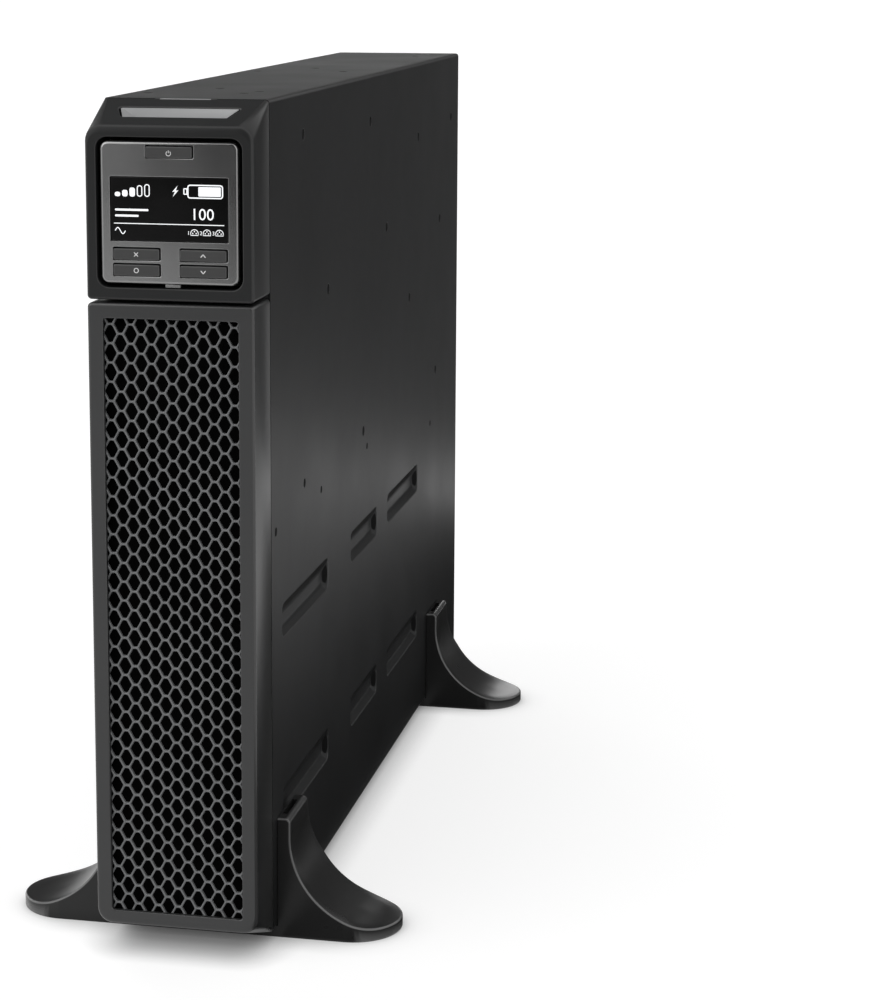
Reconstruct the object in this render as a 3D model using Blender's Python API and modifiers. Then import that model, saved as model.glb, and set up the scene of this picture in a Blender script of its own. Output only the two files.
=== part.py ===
# A two-unit uninterruptible power supply that stands on edge on two tower feet.
# Metres, +Z up. The front faces -Y, and the origin is on the floor under the middle of the unit.
# Heights named *_Z are above the case's bottom wall; up() turns them into heights above the floor.

import math

import bmesh
import bpy
from mathutils import Matrix, Vector

MM = 0.001

# Case
CASE_WIDTH = 85 * MM
CASE_HEIGHT = 432 * MM
TOTAL_DEPTH = 584 * MM
SHEET = 1.2 * MM
BEND_RADIUS = 2.0 * MM
GAP = 0.3 * MM  # clearance between neighbouring solids
REAR_PROUD = 4.0 * MM  # how far the outlets stand out behind the rear panel
COVER_FLANGE = 6 * MM
COVER_FLANGE_SETBACK = 16 * MM
PANEL_FLANGE = 10 * MM

# Pressed recesses of the base wall: first and last depth from the case front, and row heights
RECESS_SPANS = ((23 * MM, 131 * MM), (192 * MM, 267 * MM), (300 * MM, 400 * MM))
RECESS_ROWS_Z = (62 * MM, 161 * MM)
RECESS_HEIGHT = 17.5 * MM
RECESS_DEPTH = 3.5 * MM
RECESS_SLOPE = 3.0 * MM

# Bezels
BEZEL_DEPTH = 33 * MM
BEZEL_SLANT = 11.6 * MM  # rise of the slanted top and bottom over the bezel's depth
BEZEL_WALL = 2.2 * MM
BEZEL_EDGE = 2.0 * MM  # rounding of the front edges
FRONT_CORNER = 8 * MM
BACK_CORNER = 2 * MM
SPLIT_BELOW_TOP = 98 * MM
SPLIT_GAP = 1.6 * MM
PEG_RADIUS = 2.5 * MM
PEG_REACH = 8 * MM
PEG_X_INSET = 4.3 * MM  # peg axis from the case's side
UPPER_PEGS_BELOW_TOP = (24 * MM, 82 * MM)
LOWER_PEGS_Z = (30 * MM, 170 * MM, 310 * MM)

# Finger slot in the slanted top: half widths and depths of its two long edges
SLOT_BACK = (32 * MM, 22.5 * MM)
SLOT_FRONT = (27 * MM, 11 * MM)
SLOT_DEPTH = 5.4 * MM

# Mesh of the lower bezel. The openings are drawn at twice the real pitch.
MESH_HALF_WIDTH = 34.5 * MM
MESH_LOW_Z = 18.5 * MM
MESH_BELOW_SPLIT = 8.4 * MM
MESH_LIP = 2.8 * MM
MESH_THICKNESS = 2 * MM
MESH_COLUMN = 10.6 * MM
MESH_ROW = 19.4 * MM
MESH_FLAT = 5.3 * MM
MESH_STRAND = 2.6 * MM

# Display module
DISPLAY_SIZE = 70 * MM
DISPLAY_CORNER = 5.5 * MM
DISPLAY_BELOW_TOP = 54 * MM  # centre of the module
DISPLAY_DEPTH = 20 * MM
DISPLAY_SETBACK = 0.3 * MM
WELL_MARGIN = 2 * MM
WELL_WALL = 1.8 * MM
SPIGOT_RADIUS = 20 * MM
SPIGOT_LENGTH = 7 * MM
WINDOW_SIDE = 5.3 * MM  # window's edge from the module's side
WINDOW_ABOVE_KEYS = 4.0 * MM
WINDOW_BELOW_POWER = 9.4 * MM
WINDOW_THICKNESS = 1.8 * MM
KEY_HEIGHT = 5.6 * MM
KEY_SIDE = 6.25 * MM  # outer end of a menu key from the module's side
KEY_COLUMN_GAP = 10.5 * MM
POWER_BELOW_EDGE = 5.2 * MM  # key centres from the module's top and bottom edges
KEY_ROWS_ABOVE_EDGE = (14.6 * MM, 6.7 * MM)
KEY_DEPTH = 5 * MM
KEY_TRAVEL = 0.8 * MM
KEY_POCKET_SPARE = 1.2 * MM

# Front frame
FRAME_SETBACK = 3 * MM
SLOT_TAB_HALF = 34 * MM
SLOT_TAB_FRONT = 11 * MM  # depth of the tab's front edge behind the bezel's front

# Feet
FOOT_BASE = 6 * MM
FOOT_HALF_WIDTH = 104 * MM
FOOT_LENGTH = 52 * MM
FOOT_TOP_LENGTH = 40 * MM
FOOT_HEIGHT = 65 * MM
FOOT_SKIN = 6.7 * MM
FOOT_WING_RADIUS = 48 * MM
FOOT_TIP = 6.5 * MM
FOOT_SHOULDER = 30 * MM  # height where the back of the foot starts to lean forward
FOOT_TONGUE = 26 * MM
FOOT_POCKET = (2.8 * MM, 12 * MM, 30 * MM)
FRONT_FOOT_DEPTH = 9 * MM  # foot's front edge behind the case's front edge
REAR_FOOT_DEPTH = 60 * MM  # foot's back edge in front of the rear panel

# Batteries
BLOCK_SIZE = (65 * MM, 151 * MM, 94 * MM)
BLOCKS_IN_PACK = 3
PACK_BEVEL = 2 * MM
TRAY_SIDE = 40 * MM
TRAY_SETBACK = 1 * MM

# Power electronics
BOARD_THICKNESS = 1.6 * MM
BOARD_STANDOFF = 6.4 * MM
BOARD_SPAN = (27 * MM, 407 * MM)  # depth from the case front
BOARD_BELOW_TOP = (8 * MM, 118 * MM)
STANDOFF_RADIUS = 3 * MM
STANDOFF_INSET = 8 * MM
SINK_SPAN = (210 * MM, 390 * MM)
SINK_BASE = 5 * MM
SINK_FIN = (2.4 * MM, 9.6 * MM, 38 * MM)  # thickness, pitch and length
SINK_FINS = 9
CHOKE_RADII = (21 * MM, 9 * MM)
CHOKE_DEPTH = 75 * MM
CAN_RADIUS = 14 * MM
CAN_HEIGHT = 45 * MM
CAN_PITCH = 31 * MM
CAN_CARRIER = 2 * MM
CAN_DEPTH = 130 * MM

# Fans
FAN_SIZE = 40 * MM
FAN_DEPTH = 28 * MM
FAN_BORE_RADIUS = 18.6 * MM
FAN_SETBACK = 5.5 * MM
FAN_CENTRES_Z = (381 * MM, 333 * MM)
FAN_HUB_RADIUS = 9 * MM
FAN_HUB_LENGTH = 17 * MM
FAN_PLATE = 3 * MM
FAN_SHAFT_RADIUS = 1.5 * MM
FAN_BLADES = 5
FAN_BLADE = (1.6 * MM, 12 * MM)  # thickness and chord
FAN_BLADE_GAP = 1.0 * MM
FAN_BLADE_PITCH = 40  # degrees

# Outlet plate and outlets
PLATE_THICKNESS = 1.0 * MM
PLATE_X = (-38.4 * MM, 42.0 * MM)
PLATE_Z = (10.6 * MM, 183.6 * MM)
TOP_TAB = (-35.6 * MM, 38.5 * MM, 192.2 * MM)
BOTTOM_TAB = (-29.8 * MM, 26.9 * MM, 0.4 * MM)
NOTCH = (-4.1 * MM, 197 * MM, 11 * MM)  # centre and radius of the dip in the top tab
PANEL_OPENING = (-34 * MM, 37 * MM, 32 * MM, 178 * MM)
OUTLET_BACK = 24 * MM
BODY_INSET = 2.0 * MM
LARGE_BLOCK = (-32.6 * MM, 35.1 * MM, 134.6 * MM, 177.7 * MM)
LARGE_CENTRES_X = (17.5 * MM, -15.0 * MM)
LARGE_CENTRE_Z = 156.1 * MM
LARGE_RING = (27.9 * MM, 35.1 * MM)
LARGE_CORE = (20.8 * MM, 28.2 * MM)
LARGE_SLOT = (3.5 * MM, 7.0 * MM)
LARGE_SLOT_PLACES = ((4.0 * MM, 6.5 * MM), (4.0 * MM, -6.5 * MM), (-4.2 * MM, 0 * MM))
BANK_Z = (35.6 * MM, 132.5 * MM)
BANK_WIDTH = 36.5 * MM
BANK_CENTRES_X = (20.3 * MM, -17.2 * MM)
SOCKET_CENTRES_Z = (118.7 * MM, 95.1 * MM, 71.5 * MM, 47.9 * MM)
SOCKET_RING = (31.2 * MM, 21.4 * MM)
SOCKET_CORE = (23.8 * MM, 15.7 * MM)
SOCKET_CHAMFER = 6.0 * MM
SOCKET_SLOT = (2.9 * MM, 5.0 * MM)
SOCKET_SLOT_PLACES = ((-7.4 * MM, 1.8 * MM), (7.4 * MM, 1.8 * MM), (0 * MM, -1.7 * MM))
RING_DEPTH = 16 * MM
SLOT_HOLE_DEPTH = 14 * MM

# Mains inlet
INLET_CENTRE = (-20.6 * MM, 254.3 * MM)
INLET_FLANGE = (28.8 * MM, 36.3 * MM, 2.0 * MM)
INLET_BODY = (26.4 * MM, 33.6 * MM)
INLET_CAVITY = (23.1 * MM, 29.9 * MM, 18 * MM)
INLET_FLOOR = 5 * MM
INLET_CORNER = 4 * MM
BLADE_SIZE = (2.4 * MM, 5.7 * MM)
BLADE_PLACES = ((4.1 * MM, 6.6 * MM), (4.1 * MM, -6.7 * MM), (-3.8 * MM, -0.1 * MM))
BLADE_SETBACK = 2 * MM
INSERT_SIZE = (20 * MM, 27 * MM, 2 * MM)

# Battery-cabinet connector
CABINET_CENTRE = (-4.9 * MM, 209.2 * MM)
CABINET_OPENING = (50.6 * MM, 17.7 * MM)
CABINET_BODY = (46.6 * MM, 15.2 * MM)
CABINET_FLANGE = (53.6 * MM, 20.6 * MM, 3 * MM)
CABINET_SETBACK = 0.6 * MM
CABINET_DEPTH = 26 * MM
CABINET_POCKET = (12.9 * MM, 5.6 * MM, 18 * MM)
CABINET_POCKETS_X = (16.1 * MM, -14.9 * MM)
CABINET_POCKET_DROP = 2.7 * MM
CABINET_SOCKET_RADIUS = 1.9 * MM
CABINET_SOCKETS_X = (5.2 * MM, -3.8 * MM)
CABINET_SOCKETS_Z = (2.3 * MM, -3.2 * MM)

# Data ports: centre, width and height
NETWORK_JACK = ((16.0 * MM, 413.9 * MM), 16.0 * MM, 13.5 * MM)
SERIAL_JACK = ((-3.45 * MM, 414.1 * MM), 15.6 * MM, 13.2 * MM)
JACK_CAVITY = (11.8 * MM, 7.6 * MM, 12 * MM)
JACK_CAVITY_RISE = 0.8 * MM
JACK_NOTCH = (6.0 * MM, 2.2 * MM)
JACK_DEPTH = 16 * MM
JACK_PROUD = 0.8 * MM
USB_PORT = ((-27.35 * MM, 413.05 * MM), 6.2 * MM, 13.0 * MM)
USB_WALL = 0.7 * MM
USB_DEPTH = 14 * MM
USB_CAVITY_DEPTH = 9 * MM
USB_TONGUE = (1.7 * MM, 10.4 * MM)
USB_TONGUE_SHIFT = 1.0 * MM
TERMINAL = ((31.55 * MM, 397.65 * MM), 8.0 * MM, 16.4 * MM)
TERMINAL_POLES = 4
TERMINAL_BACK = 5 * MM
TERMINAL_PROUD = 3.4 * MM
TERMINAL_HOLE = (3.6 * MM, 2.6 * MM, 3 * MM)

# Card slot
CARD_COVER = (-38.8 * MM, 0.7 * MM, 284.5 * MM, 405.1 * MM)
CARD_OPENING_INSET = (3.0 * MM, 9.0 * MM)
CARD_CORNER = 2 * MM
CARD_GRIPS_Z = (392.6 * MM, 294.9 * MM)
CARD_GRIP = (22.2 * MM, 3.2 * MM)
CARD_GRIP_X = -22.6 * MM

# Rear vents, drawn at twice the real pitch: spans of X and Z, and discs kept blank
VENT_PITCH = 10.2 * MM
VENT_OPENING = 8.2 * MM
VENT_AREAS = (
    (3.6 * MM, 36.5 * MM, 257 * MM, 384 * MM),
    (3.6 * MM, 25.0 * MM, 384 * MM, 403 * MM),
    (7.0 * MM, 20.0 * MM, 230 * MM, 257 * MM),
)
VENT_BLANK_RADIUS = 5.5 * MM  # round a screw in the vents
AIR_SLOTS = ((-26.7 * MM, -5.2 * MM, 278 * MM, 280 * MM), (-36.4 * MM, -29.0 * MM, 278 * MM, 280 * MM))
SMALL_HOLE = ((-4.1 * MM, 193.8 * MM), 1.85 * MM)

# Screws: radius and height of the heads, and what each one holds
SCREW_SIDES = 10
SHANK_RADIUS = 1.5 * MM
SHANK_LENGTH = 5 * MM
LOBE_HEAD = (4.0 * MM, 2.2 * MM)
CROSS_HEAD = (3.6 * MM, 2.0 * MM)
GROUND_HEAD = (4.5 * MM, 2.3 * MM)
TOP_SCREW_Z = CASE_HEIGHT - 4.1 * MM
EDGE_SCREW_X = (CASE_WIDTH / 2 - 4.6 * MM, CASE_WIDTH / 2 - 4.9 * MM)
PANEL_SCREWS = (
    (29.2 * MM, TOP_SCREW_Z), (-34.2 * MM, TOP_SCREW_Z), (-16.8 * MM, 416.7 * MM),
    (EDGE_SCREW_X[0], 301.4 * MM), (-12.6 * MM, 225.0 * MM), (-22.3 * MM, 225.0 * MM),
    (-35.6 * MM, 223.7 * MM), (28.3 * MM, 209.4 * MM), (EDGE_SCREW_X[1], 201.3 * MM),
    (32.4 * MM, 4.3 * MM), (-34.4 * MM, 4.7 * MM),
)
PLATE_SCREWS = (
    (31.0 * MM, 187.5 * MM), (-29.6 * MM, 187.5 * MM), (22.0 * MM, 5.6 * MM), (-24.1 * MM, 5.6 * MM),
)
GROUND_SCREW = (-0.2 * MM, 5.8 * MM)
COVER_SCREWS = ((-19.1 * MM, 400.6 * MM), (-19.1 * MM, 288.2 * MM))
VENT_SCREW = (19.5 * MM, 355.5 * MM)

# Places worked out from the sizes above
FRONT_Y = -TOTAL_DEPTH / 2
CASE_FRONT_Y = FRONT_Y + BEZEL_DEPTH
REAR_Y = TOTAL_DEPTH / 2 - REAR_PROUD
HALF = CASE_WIDTH / 2
INNER = HALF - SHEET
PANEL_HALF = INNER - GAP
PANEL_LOW_Z = SHEET + GAP
PANEL_HIGH_Z = CASE_HEIGHT - SHEET - GAP
SPLIT_Z = CASE_HEIGHT - SPLIT_BELOW_TOP
DISPLAY_Z = CASE_HEIGHT - DISPLAY_BELOW_TOP
PEG_X = HALF - PEG_X_INSET
FRAME_Y = CASE_FRONT_Y + FRAME_SETBACK
PLATE_BACK_Y = REAR_Y + GAP
PLATE_FRONT_Y = PLATE_BACK_Y + PLATE_THICKNESS
BOARD_X = INNER - BOARD_STANDOFF - GAP  # outer face of the power board
PACK_HEIGHT = BLOCK_SIZE[2] * BLOCKS_IN_PACK
TRAY_INNER = BLOCK_SIZE[0] / 2 + GAP

FACING = {
    "X": Matrix(((0, 0, 1), (1, 0, 0), (0, 1, 0))),  # outline in Y and Z
    "Y": Matrix(((1, 0, 0), (0, 0, -1), (0, 1, 0))),  # outline in X and Z
    "Z": Matrix.Identity(3),  # outline in X and Y
}
AXES = {"X": Vector((1, 0, 0)), "Y": Vector((0, 1, 0)), "Z": Vector((0, 0, 1))}


def up(height):
    return FOOT_BASE + height


# Outlines

def arc(centre, radius, start, stop, steps):
    angles = [math.radians(start + (stop - start) * i / steps) for i in range(steps + 1)]
    return [(centre[0] + radius * math.cos(a), centre[1] + radius * math.sin(a)) for a in angles]


def circle(centre, radius, steps=12):
    return arc(centre, radius, 0, 360, steps)[:-1]


def rectangle(low_u, high_u, low_v, high_v):
    return [(low_u, low_v), (high_u, low_v), (high_u, high_v), (low_u, high_v)]


def rounded(low_u, high_u, low_v, high_v, radius, steps=3):
    return (
        arc((high_u - radius, low_v + radius), radius, -90, 0, steps)
        + arc((high_u - radius, high_v - radius), radius, 0, 90, steps)
        + arc((low_u + radius, high_v - radius), radius, 90, 180, steps)
        + arc((low_u + radius, low_v + radius), radius, 180, 270, steps)
    )


def centred(centre, width, height):
    u, v = centre
    return (u - width / 2, u + width / 2, v - height / 2, v + height / 2)


def grown(span, margin):
    return (span[0] - margin, span[1] + margin, span[2] - margin, span[3] + margin)


def raised(span):
    return (span[0], span[1], up(span[2]), up(span[3]))


# Solids

def new_collection(name):
    collection = bpy.data.collections.new(name)
    bpy.context.scene.collection.children.link(collection)
    return collection


def add_object(name, mesh, matrix):
    solid = bpy.data.objects.new(name, mesh)
    solid.matrix_world = matrix
    PARTS.objects.link(solid)
    return solid


def plate(name, outlines, low, high, facing):
    # A flat outline, with any inner outlines as holes, between two levels along its facing axis
    curve = bpy.data.curves.new(name, "CURVE")
    curve.dimensions = "2D"
    curve.fill_mode = "BOTH"
    curve.extrude = (high - low) / 2
    for outline in outlines:
        spline = curve.splines.new("POLY")
        spline.points.add(len(outline) - 1)
        for point, (u, v) in zip(spline.points, outline):
            point.co = (u, v, 0, 1)
        spline.use_cyclic_u = True
    place = Matrix.Translation(AXES[facing] * (low + high) / 2) @ FACING[facing].to_4x4()
    drawn = add_object(name + "_outline", curve, place)
    bpy.context.view_layer.update()
    evaluated = drawn.evaluated_get(bpy.context.evaluated_depsgraph_get())
    mesh = bpy.data.meshes.new_from_object(evaluated)
    shape = bmesh.new()
    shape.from_mesh(mesh)
    bmesh.ops.remove_doubles(shape, verts=shape.verts, dist=0.001 * MM)
    bmesh.ops.recalc_face_normals(shape, faces=shape.faces)
    shape.to_mesh(mesh)
    shape.free()
    bpy.data.objects.remove(drawn)
    bpy.data.curves.remove(curve)
    return add_object(name, mesh, place)


def mesh_from(name, shape):
    mesh = bpy.data.meshes.new(name)
    shape.to_mesh(mesh)
    shape.free()
    return mesh


def block(name, low, high):
    low, high = Vector(low), Vector(high)
    shape = bmesh.new()
    bmesh.ops.create_cube(shape, size=1, matrix=Matrix.Diagonal((*(high - low), 1)))
    return add_object(name, mesh_from(name, shape), Matrix.Translation((low + high) / 2))


def rod(name, radius, centre, axis, low, high, steps=16):
    # A round bar along X, Y or Z, through a centre given in the two other axes
    shape = bmesh.new()
    bmesh.ops.create_cone(
        shape, cap_ends=True, segments=steps, radius1=radius, radius2=radius, depth=high - low
    )
    mesh = mesh_from(name, shape)
    mesh.shade_smooth()
    mesh.set_sharp_from_angle(angle=math.radians(40))
    across = FACING[axis] @ Vector((centre[0], centre[1], 0))
    place = Matrix.Translation(across + AXES[axis] * (low + high) / 2) @ FACING[axis].to_4x4()
    return add_object(name, mesh, place)


def loft(name, rings):
    # A closed skin through rings of equally many points, capped at both ends
    shape = bmesh.new()
    layers = [[shape.verts.new(point) for point in ring] for ring in rings]
    for near, far in zip(layers, layers[1:]):
        for i in range(len(near)):
            shape.faces.new((near[i - 1], near[i], far[i], far[i - 1]))
    shape.faces.new(layers[0])
    shape.faces.new(layers[-1])
    bmesh.ops.recalc_face_normals(shape, faces=shape.faces)
    return add_object(name, mesh_from(name, shape), Matrix.Identity(4))


def combine(target, operation, *others):
    for other in others:
        modifier = target.modifiers.new(other.name, "BOOLEAN")
        modifier.operation = operation
        modifier.solver = "EXACT"
        modifier.object = other
        PARTS.objects.unlink(other)
        CUTTERS.objects.link(other)
        other.hide_render = True
        other.display_type = "WIRE"


def cut(target, *cutters):
    combine(target, "DIFFERENCE", *cutters)


def join(target, *others):
    combine(target, "UNION", *others)


def finish(solid, colour, roughness, metallic=0.0):
    material = bpy.data.materials.new(solid.name)
    material.use_nodes = True
    shader = material.node_tree.nodes["Principled BSDF"]
    shader.inputs["Base Color"].default_value = (*colour, 1)
    shader.inputs["Roughness"].default_value = roughness
    shader.inputs["Metallic"].default_value = metallic
    solid.data.materials.clear()
    solid.data.materials.append(material)


def carrier(name, place):
    empty = bpy.data.objects.new(name, None)
    empty.location = place
    PARTS.objects.link(empty)
    bpy.context.view_layer.update()
    return empty


def carry(empty, *solids):
    bpy.context.view_layer.update()
    for solid in solids:
        solid.parent = empty
        solid.matrix_parent_inverse = empty.matrix_world.inverted()


BLACK_PAINT = ((0.028, 0.028, 0.030), 0.5)
BLACK_PLASTIC = ((0.035, 0.035, 0.037), 0.55)
OUTLET_PLASTIC = ((0.045, 0.045, 0.047), 0.5)
BARE_STEEL = ((0.55, 0.56, 0.57), 0.35, 1.0)
ZINC = ((0.75, 0.77, 0.79), 0.3, 1.0)


# Case

def recess_blocks(name, front_x, back_x, margin):
    # Six flat-bottomed frusta, narrower at back_x, where the base wall is pressed inwards
    shape = bmesh.new()
    for row in RECESS_ROWS_Z:
        for first, last in RECESS_SPANS:
            made = bmesh.ops.create_cube(shape, size=1)["verts"]
            middle = Vector(((front_x + back_x) / 2, CASE_FRONT_Y + (first + last) / 2, up(row)))
            reach = Vector((front_x - back_x, last - first + 2 * margin, RECESS_HEIGHT + 2 * margin))
            for vertex in made:
                inward = vertex.co.x < 0
                shrink = Vector((0, 2 * RECESS_SLOPE, 2 * RECESS_SLOPE)) if inward else Vector()
                size = reach - shrink
                vertex.co = middle + Vector(c * s for c, s in zip(vertex.co, size))
    return add_object(name, mesh_from(name, shape), Matrix.Identity(4))


def make_chassis_tray():
    outer, inner = BEND_RADIUS, BEND_RADIUS - SHEET
    edge = -PANEL_HALF
    profile = (
        [(edge, 0)]
        + arc((HALF - outer, outer), outer, -90, 0, 3)
        + arc((HALF - outer, CASE_HEIGHT - outer), outer, 0, 90, 3)
        + [(edge, CASE_HEIGHT), (edge, CASE_HEIGHT - SHEET)]
        + arc((HALF - outer, CASE_HEIGHT - outer), inner, 90, 0, 3)
        + arc((HALF - outer, outer), inner, 0, -90, 3)
        + [(edge, SHEET)]
    )
    profile = [(x, up(z)) for x, z in profile]
    tray = plate("chassis_tray", [profile], CASE_FRONT_Y + GAP, REAR_Y, "Y")
    bumps = recess_blocks("recess_bumps", HALF - SHEET / 2, HALF - RECESS_DEPTH - SHEET, SHEET)
    pockets = recess_blocks("recess_pockets", HALF + SHEET, HALF - RECESS_DEPTH, 0)
    join(tray, bumps)
    cut(tray, pockets)
    low, high = board_heights()
    for depth in (BOARD_SPAN[0] + STANDOFF_INSET, BOARD_SPAN[1] - STANDOFF_INSET):
        for height in (low + STANDOFF_INSET, high - STANDOFF_INSET):
            centre = (CASE_FRONT_Y + depth, height)
            join(tray, rod("standoff", STANDOFF_RADIUS, centre, "X", BOARD_X + GAP, INNER + SHEET / 2, 8))
    finish(tray, *BLACK_PAINT)


def make_side_cover():
    first, last = CASE_FRONT_Y + GAP, REAR_Y
    cover = block("side_cover", (-HALF, first, up(0)), (-INNER, last, up(CASE_HEIGHT)))
    for low in (SHEET + GAP, CASE_HEIGHT - 2 * SHEET - GAP):
        corner = (-INNER - SHEET / 2, first + COVER_FLANGE_SETBACK, up(low))
        opposite = (-INNER + COVER_FLANGE, last - COVER_FLANGE_SETBACK, up(low + SHEET))
        join(cover, block("cover_flange", corner, opposite))
    finish(cover, *BLACK_PAINT)


def vent_outlines():
    # A honeycomb of upright hexagons over the vent areas, leaving the screw heads' discs blank
    rise = VENT_PITCH * math.sqrt(3) / 2
    radius = VENT_OPENING / math.sqrt(3)
    low_x = min(area[0] for area in VENT_AREAS) + VENT_OPENING / 2
    low_z = min(area[2] for area in VENT_AREAS) + radius
    high_z = max(area[3] for area in VENT_AREAS)
    outlines = []
    for row in range(int((high_z - low_z) / rise) + 1):
        for column in range(int(CASE_WIDTH / VENT_PITCH)):
            x = low_x + (column + row % 2 / 2) * VENT_PITCH
            z = low_z + row * rise
            inside = any(
                a[0] <= x - VENT_OPENING / 2 and x + VENT_OPENING / 2 <= a[1] and a[2] <= z - radius
                and z + radius <= a[3] + rise / 2 for a in VENT_AREAS
            )
            clear = VENT_BLANK_RADIUS + VENT_OPENING / 2
            blank = any(math.hypot(x - u, z - v) < clear for u, v in PANEL_SCREWS + (VENT_SCREW,))
            if inside and not blank:
                outlines.append(arc((x, up(z)), radius, 30, 330, 5))
    return outlines


def port_hole(port):
    return rectangle(*raised(grown(centred(*port), GAP)))


def shank_hole(place):
    return circle((place[0], up(place[1])), SHANK_RADIUS + GAP, 8)


def card_opening():
    across, along = CARD_OPENING_INSET
    low_x, high_x, low_z, high_z = CARD_COVER
    return rectangle(low_x + across, high_x - across, up(low_z + along), up(high_z - along))


def make_rear_panel():
    screws = PANEL_SCREWS + PLATE_SCREWS + COVER_SCREWS + (GROUND_SCREW, VENT_SCREW)
    outside = rectangle(-PANEL_HALF, PANEL_HALF, up(PANEL_LOW_Z), up(PANEL_HIGH_Z))
    panel = plate("rear_panel", [outside], REAR_Y - SHEET, REAR_Y, "Y")
    corner = (GAP - PANEL_HALF, REAR_Y - SHEET - PANEL_FLANGE, up(PANEL_LOW_Z + PANEL_FLANGE))
    opposite = (GAP - PANEL_HALF + SHEET, REAR_Y - SHEET / 2, up(PANEL_HIGH_Z - PANEL_FLANGE))
    join(panel, block("panel_flange", corner, opposite))
    holes = [
        rectangle(*raised(PANEL_OPENING)),
        rectangle(*raised(centred(CABINET_CENTRE, *CABINET_OPENING))),
        circle((SMALL_HOLE[0][0], up(SMALL_HOLE[0][1])), SMALL_HOLE[1], 8),
        card_opening(),
        rounded(*raised(grown(centred(INLET_CENTRE, *INLET_BODY), GAP)), INLET_CORNER, 2),
    ]
    holes += [port_hole(port) for port in (NETWORK_JACK, SERIAL_JACK, USB_PORT, TERMINAL)]
    holes += [rectangle(*raised(span)) for span in AIR_SLOTS]
    holes += [shank_hole(place) for place in screws]
    for name, outlines in (("panel_holes", holes), ("panel_vents", vent_outlines())):
        cut(panel, plate(name, outlines, REAR_Y - SHEET - GAP, REAR_Y + GAP, "Y"))
    finish(panel, *BLACK_PAINT)


def pack_span():
    # Depths of the two packs, one behind the other, and of the tray that holds them
    first = FRAME_Y + SHEET + TRAY_SETBACK + SHEET + GAP
    second = first + BLOCK_SIZE[1] + GAP
    return first, second, second + BLOCK_SIZE[1] + GAP


def tray_floor():
    return up(SHEET + GAP)


def make_front_frame():
    window = TRAY_INNER + SHEET + GAP
    low, high = tray_floor() - GAP + SHEET, tray_floor() + SHEET + GAP + PACK_HEIGHT + SHEET
    holes = [circle((side * PEG_X, up(z)), PEG_RADIUS + GAP) for z in peg_heights() for side in (-1, 1)]
    spigot = circle((0, up(DISPLAY_Z)), SPIGOT_RADIUS + 2 * GAP, 24)
    outlines = [
        rectangle(-PANEL_HALF, PANEL_HALF, up(PANEL_LOW_Z), up(PANEL_HIGH_Z)),
        rectangle(-window, window, low, high),
        spigot,
    ]
    frame = plate("front_frame", outlines, FRAME_Y, FRAME_Y + SHEET, "Y")
    cut(frame, plate("peg_holes", holes, FRAME_Y - GAP, FRAME_Y + SHEET + GAP, "Y"))
    slope = BEZEL_SLANT / BEZEL_DEPTH
    drop = SLOT_DEPTH * math.hypot(1, slope)

    def tab_height(y):
        return up(CASE_HEIGHT) - BEZEL_SLANT + slope * (y - FRONT_Y) - drop

    first, last = FRONT_Y + SLOT_TAB_FRONT, FRAME_Y + SHEET / 2
    tab = [(y, tab_height(y)) for y in (first, last)] + [(y, tab_height(y) - SHEET) for y in (last, first)]
    join(frame, plate("slot_tab", [tab], -SLOT_TAB_HALF, SLOT_TAB_HALF, "X"))
    finish(frame, *BARE_STEEL)


# Bezels

def bezel_ring(depth, inset, low_z, high_z, low_slants, high_slants):
    # The bezel's outline at one depth: an end that slants moves out to the case's end at the back
    share = depth / BEZEL_DEPTH
    lean = BEZEL_SLANT * (1 - share)
    corner = FRONT_CORNER + (BACK_CORNER - FRONT_CORNER) * share
    low_corner = max(corner if low_slants else BACK_CORNER, inset + GAP) - inset * low_slants
    high_corner = max(corner if high_slants else BACK_CORNER, inset + GAP) - inset * high_slants
    low = low_z + lean * low_slants + inset
    high = high_z - lean * high_slants - inset
    side = HALF - inset
    outline = (
        arc((side - low_corner, low + low_corner), low_corner, -90, 0, 3)
        + arc((side - high_corner, high - high_corner), high_corner, 0, 90, 3)
        + arc((high_corner - side, high - high_corner), high_corner, 90, 180, 3)
        + arc((low_corner - side, low + low_corner), low_corner, 180, 270, 3)
    )
    return [(x, FRONT_Y + depth, up(z)) for x, z in outline]


def bezel_shell(name, low_z, high_z, low_slants, high_slants):
    def ring(depth, inset):
        return bezel_ring(depth, inset, low_z, high_z, low_slants, high_slants)

    front = [(x, FRONT_Y, z) for x, y, z in ring(BEZEL_EDGE, BEZEL_EDGE)]
    shell = loft(name, [front, ring(BEZEL_EDGE, 0), ring(BEZEL_DEPTH, 0)])
    hollow_rings = [ring(BEZEL_WALL, BEZEL_WALL), ring(BEZEL_DEPTH + BEZEL_WALL, BEZEL_WALL)]
    cut(shell, loft(name + "_hollow", hollow_rings))
    return shell


def peg_heights():
    upper = [CASE_HEIGHT - below for below in UPPER_PEGS_BELOW_TOP]
    return upper + list(LOWER_PEGS_Z)


def peg(height, side, first):
    last = CASE_FRONT_Y + PEG_REACH
    return rod("peg", PEG_RADIUS, (side * PEG_X, up(height)), "Y", first, last, 12)


def display_centre():
    return (0, up(DISPLAY_Z))


def display_square(margin):
    return centred(display_centre(), DISPLAY_SIZE + 2 * margin, DISPLAY_SIZE + 2 * margin)


def well_floor_y():
    return FRONT_Y + DISPLAY_SETBACK + DISPLAY_DEPTH + GAP


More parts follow.
